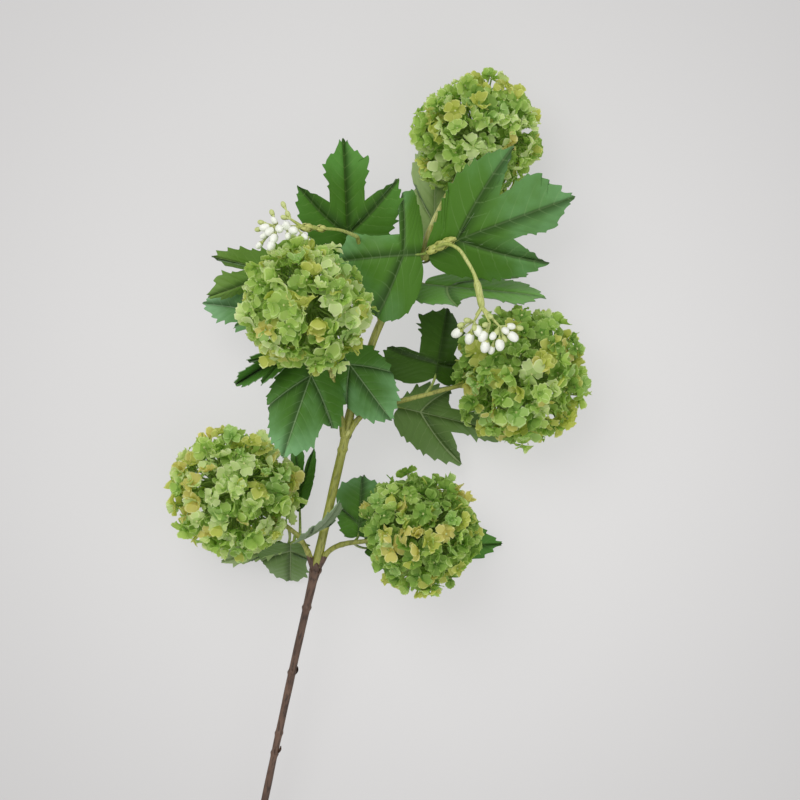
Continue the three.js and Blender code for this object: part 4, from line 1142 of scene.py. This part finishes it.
def petal_points(normals, spin, width, cup, rng):
    """Every petal of every floret, from its floret's middle: florets, petals, grid points and X, Y, Z."""
    x, y, _, _ = petal_template()
    shape = (len(normals), PETALS, 1)
    off_middle = x ** 2 + y ** 2
    length = width[:, None, None] / 2 * rng.uniform(*PETAL_LENGTHS, shape)
    breadth = length * rng.uniform(*PETAL_BREADTHS, shape)
    turn = np.arange(PETALS)[None, :, None] * 2 * math.pi / PETALS + rng.normal(size=shape) * TURN_SPREAD
    tilt = cup[:, None, None] + rng.normal(size=shape) * TILT_SPREAD
    reach = (y + 1) / 2
    narrow = FOOT_WIDTH + (1 - FOOT_WIDTH) * np.clip(reach / FOOT_END, 0, 1)
    notch = 1 - rng.uniform(0, NOTCH_DEPTH, shape) * np.exp(-(x / NOTCH_HALF_WIDTH) ** 2) * reach ** 3
    fray = 1 + rng.uniform(*FRAY, (len(normals), PETALS, len(x))) * np.clip(off_middle, 0, 1) ** 4
    across = x * breadth / 2 * narrow * fray
    out = FOOT_DISTANCE + length * reach * notch * fray
    bow = rng.normal(size=shape) * BOW_SPREAD + BOW
    curl = rng.normal(size=(len(normals), 1, 1)) * FLORET_CURL_SPREAD
    curl = curl + rng.normal(size=shape) * PETAL_CURL_SPREAD
    waves = rng.integers(*RIPPLE_COUNTS, shape) * np.arctan2(x, y) + rng.uniform(0, RANDOM_TURN, shape)
    ripple = rng.uniform(*RIPPLES, shape) * np.sin(waves) * off_middle * np.clip(reach * 2, 0, 1)
    rise = bow * x ** 2 * breadth + curl * reach ** 2 * length + ripple + np.array(OVERLAP)[None, :, None]
    along = out * np.cos(tilt) - rise * np.sin(tilt)
    up = out * np.sin(tilt) + rise * np.cos(tilt)
    first, second = side_directions(normals, spin)
    first, second = first[:, None, None], second[:, None, None]
    outward = first * np.cos(turn)[..., None] + second * np.sin(turn)[..., None]
    sideways = second * np.cos(turn)[..., None] - first * np.sin(turn)[..., None]
    return outward * along[..., None] + sideways * across[..., None] + normals[:, None, None] * up[..., None]


def clear_of_leaves(points, leaf_points, gap):
    """False for each floret that comes nearer than the gap to a leaf."""
    tree = KDTree(len(leaf_points))
    for index, point in enumerate(leaf_points):
        tree.insert(point, index)
    tree.balance()
    keep = []
    for floret in points.reshape(len(points), -1, 3):
        keep.append(all(tree.find(point)[2] > gap for point in floret[::TRIED_POINTS]))
    return np.array(keep)


def bloom_florets(node, settings, seed):
    """Places, directions and petals of one bloom's florets, outer ones first."""
    centre, radius = bloom_ball(node)
    rng = np.random.default_rng(seed)
    size = BLOOM_LOOKS[node]["size"]
    outer = round(settings.florets / size ** 2)
    layers = []
    for count, (low, high, lean) in ((outer, OUTER_LAYER), (settings.inner_florets, INNER_LAYER)):
        outward = even_directions(count, rng, DIRECTION_JITTER)
        lumps = LUMP_HEIGHT * (1 + wave_noise(outward * radius, LUMP_MM, seed))
        depth = rng.uniform(low, high, count) + np.clip(lumps, 0, DEEPEST_LUMP)
        normals = outward + rng.normal(size=(count, 3)) * lean
        normals /= np.linalg.norm(normals, axis=1)[:, None]
        layers.append((depth, normals, outward))
    depth, normals, outward = (np.concatenate([layer[k] for layer in layers]) for k in range(3))
    count = len(depth)
    width = settings.floret_width * 1000 * size * rng.uniform(*FLORET_SIZES, count)
    spin, cup = rng.uniform(0, RANDOM_TURN, count), rng.normal(size=count) * CUP_SPREAD + CUP
    petals = petal_points(normals, spin, width, cup, rng)
    middles = outward * (radius - depth)[:, None]
    reach = np.linalg.norm(middles[:, None, None] + petals, axis=-1).max(axis=(1, 2))
    pressed = sum(press * np.exp((outward @ unit(place) - 1) / PRESSED_WIDTH)
                  for place, press in PRESSED_PLACES[node])
    pressed = pressed * (rng.uniform(size=count) > STRAY_FLORETS)
    middles -= outward * np.maximum(reach - radius + pressed - rng.uniform(*ROUGHNESS, count), 0)[:, None]
    middles += centre
    points = middles[:, None, None] + petals
    points[..., 2] = np.maximum(points[..., 2], PETAL_CLEARANCE)
    return centre, radius, outer, middles, normals, outward, points, rng  # the draws go on from here


def step_clear(points, middles, outward, near):
    """Moves florets off the leaves where a sidestep is enough. Says which florets are clear in the end."""
    if not len(near):
        return np.ones(len(points), bool)
    keep = clear_of_leaves(points, near, LEAF_GAP_MM)
    for up, inward in SIDESTEPS:
        lost = np.flatnonzero(~keep)
        if len(lost):
            step = np.array((0, 0, up)) - outward[lost] * inward
            clear = clear_of_leaves(points[lost] + step[:, None, None], near, LEAF_GAP_MM)
            points[lost[clear]] += step[clear][:, None, None]
            middles[lost[clear]] += step[clear]
            keep[lost[clear]] = True
    return keep


class VIBURNUM_OT_blooms(bpy.types.Operator):
    """Five ball blooms: cloth florets on thin moulded stalks round a hub"""

    bl_idname = "viburnum.blooms"
    bl_label = "Blooms"

    def execute(self, context):
        settings = context.scene.viburnum_blooms
        materials = []
        for tone, dyes in PETAL_TONES.items():
            # A heart's colour is partly painted shade and a rim's partly painted highlight.
            for zone, dye in zip(("heart", "body", "rim"), dyes):
                colour = linear(dye)
                passing = tuple(min(1.0, c * k) for c, k in zip(colour, PASSING_LIGHT)) + (1.0,)
                materials.append(petal_cloth(f"dyed_cloth_petal_{tone}_{zone}", colour, passing))
        button = moulded_bud("moulded_floret_button", linear("#b9c47c"), linear("#9aa658"), 0.5)
        stalk = moulded_bud("moulded_floret_stalk", linear("#86a04a"), linear("#6d8a3a"), 0.5)
        _, _, quads, zones = petal_template()
        names = list(PETAL_TONES)
        leaf_points = LEAF_SAMPLES[-1]
        for number, node in enumerate(BLOOM_NODES):
            centre, radius, outer, middles, normals, outward, points, rng = bloom_florets(
                node, settings, FIRST_BLOOM_SEED + number)
            near = leaf_points[np.linalg.norm(leaf_points - centre, axis=1) < radius + NEAR_MM]
            keep = step_clear(points, middles, outward, near)
            petals, buttons = Build(), Build()
            shares = tone_shares(node)
            tones = rng.choice(list(shares), size=len(points), p=list(shares.values()))
            yellow_share = settings.yellow_share * BLOOM_LOOKS[node]["yellow"]
            for index in np.flatnonzero(keep):
                outside = index < outer
                yellow = outside and rng.uniform() < yellow_share
                for petal in range(PETALS):
                    tone = tones[index] if outside else "mid"
                    if yellow and rng.uniform() < YELLOW_PETALS:
                        tone = "yellow"
                    elif outside and rng.uniform() < STRAY_LIME:
                        tone = "lime"
                    petals.add(points[index, petal], quads, zones + 3 * names.index(tone))
            petals.finish("petals_" + node, materials, [node], "petals")
            thin = profile(FLORET_STALK_RADII)
            for index in np.flatnonzero(keep):
                add_button(buttons, middles[index], normals[index])
                hub = centre + outward[index] * radius * STALK_START
                bend = centre + (outward[index] * 0.75 + normals[index] * 0.25) * radius * STALK_BEND
                foot = middles[index] - normals[index] * 0.3
                sweep(buttons, [hub, bend, foot], thin, 5, 5.0, slot=1, end=False)
            add_hub(buttons, centre, radius * HUB_SHARE)
            buttons.finish("floret_stalks_" + node, [button, stalk], [node], "green_stem")
        return {"FINISHED"}


def spokes(axis, turns):
    """Directions at right angles to an axis, one for each turn."""
    first, second = side_directions(axis[None], np.zeros(1))
    return [first[0] * math.cos(turn) + second[0] * math.sin(turn) for turn in turns]


def add_button(build, centre, normal):
    """The small moulded boss that pins a floret's petals."""
    around = spokes(normal, np.linspace(0, 2 * math.pi, BOSS_SIDES, endpoint=False))
    points = [centre + normal * BOSS_TOP]
    for radius, height in BOSS_RINGS:
        points.extend(centre + spoke * radius + normal * height for spoke in around)
    turned = [(k, (k + 1) % BOSS_SIDES) for k in range(BOSS_SIDES)]
    build.add(points[:1 + BOSS_SIDES], [(0, 1 + k, 1 + n) for k, n in turned])
    build.add(points[1:], [(k, BOSS_SIDES + k, BOSS_SIDES + n, n) for k, n in turned])


def add_hub(build, centre, radius):
    """The moulded knob in a bloom's middle, into which the floret stalks are plugged."""
    v, u = np.meshgrid(np.linspace(0, math.pi, 10), np.linspace(0, 2 * math.pi, 17), indexing="ij")
    lumpy = radius * (1 + 0.06 * np.sin(5 * u) * np.sin(v) ** 2)
    points = np.stack([lumpy * np.sin(v) * np.cos(u), lumpy * np.sin(v) * np.sin(u), lumpy * np.cos(v)], -1)
    outward_faces = grid_quads(*u.shape)[:, [0, 3, 2, 1]]
    build.add(points.reshape(-1, 3) + centre, outward_faces, 1)


# ---------------------------------------------------------------- bud sprays

BUD_RIBS = 5
YOUNG_BUD, HALF_BUD = 0.6, 0.74  # their size compared with a full bud
BUD_STALK_RADII = ((0, 0.5), (0.6, 0.4), (0.85, 0.5), (1, 0.85))  # by the share of its length
BUD_STALK_BOW = (0, 0, 0.8)

# Each cluster: its stalk's places and radii, the ends of its forks, and its scales' foot, tip, radius and
# length. full, half and young are the middles of its buds, and share is their size compared with the
# settings.
BUD_SPRAYS = {
    "bud_spray_right": dict(
        share=1.0,
        stalk=[(24.2, 508, 53), (27, 510.6, 61), (31.5, 513, 67), (38.4, 511.4, 72.5), (44.1, 506, 75.5),
               (49.1, 500, 77.5), (52.5, 493.8, 78.2), (56.7, 484.1, 78.5)],
        radius=[(0, 1.3), (0.2, 1.0), (0.7, 0.95), (0.76, 1.2), (0.8, 2.0), (0.97, 1.9), (1, 1.5)],
        forks=[(54.6, 479.4, 77), (60.4, 481.2, 77.8), (54.4, 476.2, 78), (62.6, 476.6, 79.5),
               (67.5, 476.2, 79)],
        scales=[((22.8, 507.4, 58.5), (29, 512, 60.5), 1.0, 6.0),
                ((26.5, 510.4, 60), (33.6, 515.6, 61), 1.35, 6.6),
                ((30, 513.4, 60.6), (36.3, 517.4, 61.4), 1.25, 6.0)],
        full=[(47, 468.4, 75), (53.8, 466.9, 77), (60.4, 469.3, 81), (62.5, 464.2, 80.5), (69.7, 466.7, 82),
              (75.4, 472.2, 81.5), (57.2, 471.4, 81)],
        half=[(73.4, 477.2, 80), (71, 474.4, 82), (66.2, 463.4, 77.5), (65.3, 470.4, 83)],
        young=[(48, 472.6, 78), (55, 472.6, 82), (66.8, 472.8, 82), (61.9, 480.2, 79.5), (78.2, 477.4, 78),
               (60.2, 475.1, 83), (71.5, 470.2, 80), (50.6, 475.6, 80.5)]),
    "bud_spray_left": dict(
        share=0.88,
        stalk=[(-15.2, 507, 67.5), (-23.6, 507.2, 82), (-34.3, 505, 93), (-42, 503.5, 99)],
        radius=[(0, 1.1), (0.3, 0.85), (0.75, 0.8), (0.84, 1.3), (1, 1.1)],
        forks=[(-45.5, 502.8, 100.5), (-48.4, 506, 99.5), (-49, 500.6, 101.5), (-54, 501, 100)],
        scales=[((-31, 505.6, 90.6), (-36, 504.6, 94.8), 0.8, 5.0),
                ((-37.4, 504.2, 95.6), (-42, 503.3, 99), 0.9, 6.0)],
        full=[(-54.5, 494.2, 105), (-55, 490.4, 105.5), (-60.2, 499, 101), (-52.9, 499.8, 103.5),
              (-49.6, 501.9, 104), (-45.8, 500.3, 105), (-57.4, 497.4, 103)],
        half=[(-39.6, 498.6, 104), (-60, 494.8, 101), (-61.6, 489.8, 98), (-56.4, 503.4, 101),
              (-47.8, 497, 104.5)],
        young=[(-53.8, 512.6, 99), (-58.7, 507.4, 98.5), (-63.2, 501.4, 98), (-52.1, 506.2, 100),
               (-64, 497.6, 97), (-50.6, 508.4, 99.5)]),
}


def turned_shape(build, centre, direction, pairs, sides, slot, ribs):
    """A shape turned round a direction, from (height, radius) pairs, with soft ribs along it."""
    turns = np.linspace(0, 2 * math.pi, sides, endpoint=False)
    around = spokes(direction, turns)
    points = []
    for height, radius in pairs:
        for turn, spoke in zip(turns, around):
            swell = radius * (1 + ribs * math.cos(BUD_RIBS * turn))
            points.append(centre + direction * height + spoke * swell)
    build.add(points, grid_quads(len(pairs), sides, closed=True), slot)


def add_bud(build, fork, centre, length, width, slot):
    """A bud in its small cup, on a fine stalk that bows up from its fork."""
    centre, fork = np.asarray(centre, float), np.asarray(fork, float)
    direction = unit(centre - fork)
    foot = centre - direction * length / 2
    middle = (fork + foot) / 2 + BUD_STALK_BOW
    sweep(build, [fork, middle, foot], profile(BUD_STALK_RADII), 7, 1.2, slot=1)
    angles = np.linspace(0, math.pi, 12)
    body = [(length / 2 * (1 - math.cos(a)), max(width / 2 * math.sin(a) ** 0.9, 0.02)) for a in angles]
    turned_shape(build, foot, direction, body, 15, slot, 0.045)
    cup = [(-0.3, 0.3), (0.1, width * 0.27), (length * 0.12, width * 0.37), (length * 0.2, width * 0.42)]
    turned_shape(build, foot, direction, cup, 10, 2, 0.1)


class VIBURNUM_OT_bud_sprays(bpy.types.Operator):
    """Two clusters of moulded buds on forked stalks"""

    bl_idname = "viburnum.bud_sprays"
    bl_label = "Bud clusters"

    def execute(self, context):
        settings = context.scene.viburnum_buds
        white = moulded_bud("moulded_white_bud", linear("#eff1e8"), linear("#d8dec8"), 0.42)
        young = moulded_bud("moulded_young_bud", linear("#c0ca84"), linear("#9eac58"), 0.45)
        # The third colour of each stalk and scale material is the painted shade in its grain's furrows.
        skin = moulded_stem("moulded_bud_stalk", linear("#a9b45c"), linear("#c0c67c"), linear("#8a9844"),
                            0.8, 0.45)
        scale = moulded_stem("moulded_bud_scales", linear("#b9bd66"), linear("#d0d38b"), linear("#9aa04d"),
                             0.8, 0.45)
        for name, spray in BUD_SPRAYS.items():
            build = Build()
            length, width = (
                1000 * spray["share"] * size for size in (settings.bud_length, settings.bud_width))
            sweep(build, spray["stalk"], profile(spray["radius"]), 12, 0.6, bark_relief(60, 0.04, 0.04),
                  slot=2)
            head = np.array(spray["stalk"][-1], float)
            for fork in spray["forks"]:
                sweep(build, [head, (head + fork) / 2, fork], profile([(0, 1.0), (1, 0.6)]), 8, 1.0, slot=2)
            for foot, tip, reach, size in spray["scales"]:
                swelling = profile([(0, 0.8), (0.5, reach), (1, 0.9)])
                rough = bark_relief(70, 0.12, 0.2)
                sweep(build, [foot, np.add(foot, tip) / 2, tip], swelling, 10, 1.0, rough, slot=3)
                ring_of_bracts(build, foot, np.subtract(tip, foot), reach * 1.8, 6, size, size * 0.52,
                               reach, 3, lift=0.05)
            for kind, slot, share in (("full", 0, 1.0), ("half", 0, HALF_BUD), ("young", 1, YOUNG_BUD)):
                for bud in spray[kind]:
                    fork = min(spray["forks"], key=lambda f: np.linalg.norm(np.subtract(f, bud)))
                    add_bud(build, fork, bud, length * share, width * share, slot)
            build.finish("moulded_" + name, [white, young, skin, scale], [name], "buds")
        return {"FINISHED"}


# ---------------------------------------------------------------- stage

CAMERA_MIDDLE = (25.3, 427.8)  # the place straight under the camera, in the working frame
AIM_HEIGHT_MM = 37
CAMERA_ROLL = 12.2  # degrees
VIEW_SCALE_MM = 0.54  # millimetres of the aim plane to one pixel of the frame
FRAME_PIXELS = 800
SENSOR_MM = 36
VIEW_END = 20  # metres
FLOOR_HALF, FLOOR_DEPTH = 3, 0.0003  # half its width, and how far it lies under the spray, in metres
ROOM_LIGHT = 0.66
LIGHT_AIM = (0, 0.1, 0.04)
SOFT_BOXES = {  # each light's place, width in metres and power in watts
    "soft_box_key": ((-0.75, 0.75, 1.7), 1.3, 17.0),
    "soft_box_fill": ((1.1, -0.5, 1.6), 1.6, 6.0)}


class VIBURNUM_OT_stage(bpy.types.Operator):
    """Opal floor, soft lights and a camera that looks straight down"""

    bl_idname = "viburnum.stage"
    bl_label = "Stage"

    def execute(self, context):
        settings = context.scene.viburnum_stage
        scene = context.scene
        scene.view_settings.view_transform = "Standard"
        mesh = bpy.data.meshes.new("stage_floor")
        corners = [(x * FLOOR_HALF, y * FLOOR_HALF, -FLOOR_DEPTH)
                   for x, y in ((-1, -1), (1, -1), (1, 1), (-1, 1))]
        mesh.from_pydata(corners, [], [(0, 1, 2, 3)])
        acrylic = opal_table("sand_blasted_opal_acrylic", tuple(settings.backdrop), settings.glow)
        mesh.materials.append(acrylic)
        floor = bpy.data.objects.new("stage_floor", mesh)
        scene.collection.objects.link(floor)

        sky = bpy.data.worlds.new("soft_room")
        sky.use_nodes = True
        sky.node_tree.nodes.clear()
        light = add(sky.node_tree, "ShaderNodeBackground", {
            "Color": linear("#faf9f7"), "Strength": ROOM_LIGHT})
        add(sky.node_tree, "ShaderNodeOutputWorld", {"Surface": light})
        scene.world = sky

        for name, (place, size, power) in SOFT_BOXES.items():
            data = bpy.data.lights.new(name, "AREA")
            data.size = size
            data.energy = power
            lamp = bpy.data.objects.new(name, data)
            lamp.location = place
            lamp.rotation_euler = (Vector(LIGHT_AIM) - Vector(place)).to_track_quat("-Z", "Y").to_euler()
            scene.collection.objects.link(lamp)

        camera = bpy.data.cameras.new("camera")
        height = settings.camera_height
        camera.sensor_width = SENSOR_MM
        camera.lens = SENSOR_MM * height * 1000 / (FRAME_PIXELS * VIEW_SCALE_MM)
        camera.clip_end = VIEW_END
        holder = bpy.data.objects.new("camera", camera)
        x, y, z = world([(*CAMERA_MIDDLE, AIM_HEIGHT_MM)])[0]
        holder.location = (x, y, z + height)
        holder.rotation_euler = (0, 0, math.radians(CAMERA_ROLL))
        scene.collection.objects.link(holder)
        scene.camera = holder
        return {"FINISHED"}


# ---------------------------------------------------------------- panel and registration


class VIBURNUM_PT_panel(bpy.types.Panel):
    """Lists the spray's pieces in the 3D view's sidebar"""

    bl_idname = "VIBURNUM_PT_panel"
    bl_label = "Snowball Viburnum Spray"
    bl_space_type = "VIEW_3D"
    bl_region_type = "UI"
    bl_category = "Viburnum"

    def draw(self, context):
        for settings, operator in PARTS:
            box = self.layout.box()
            group = getattr(context.scene, settings)
            for name in group.bl_rna.properties.keys():
                if name not in {"rna_type", "name"}:
                    box.prop(group, name)
            box.operator(operator)


PARTS = (
    ("viburnum_stems", "viburnum.stems"),
    ("viburnum_leaves", "viburnum.leaves"),
    ("viburnum_blooms", "viburnum.blooms"),
    ("viburnum_buds", "viburnum.bud_sprays"),
    ("viburnum_stage", "viburnum.stage"),
)
SETTINGS = (StemSettings, LeafSettings, BloomSettings, BudSettings, StageSettings)
CLASSES = (*SETTINGS, VIBURNUM_OT_stems, VIBURNUM_OT_leaves, VIBURNUM_OT_blooms, VIBURNUM_OT_bud_sprays,
           VIBURNUM_OT_stage, VIBURNUM_PT_panel)


def register():
    for cls in CLASSES:
        bpy.utils.register_class(cls)
    for (name, _), group in zip(PARTS, SETTINGS):
        setattr(bpy.types.Scene, name, bpy.props.PointerProperty(type=group))


def unregister():
    for name, _ in PARTS:
        delattr(bpy.types.Scene, name)
    for cls in reversed(CLASSES):
        bpy.utils.unregister_class(cls)


def main():
    register()
    bpy.ops.viburnum.stems()
    bpy.ops.viburnum.leaves()
    bpy.ops.viburnum.blooms()
    bpy.ops.viburnum.bud_sprays()
    bpy.ops.viburnum.stage()


if __name__ == "__main__":
    main()
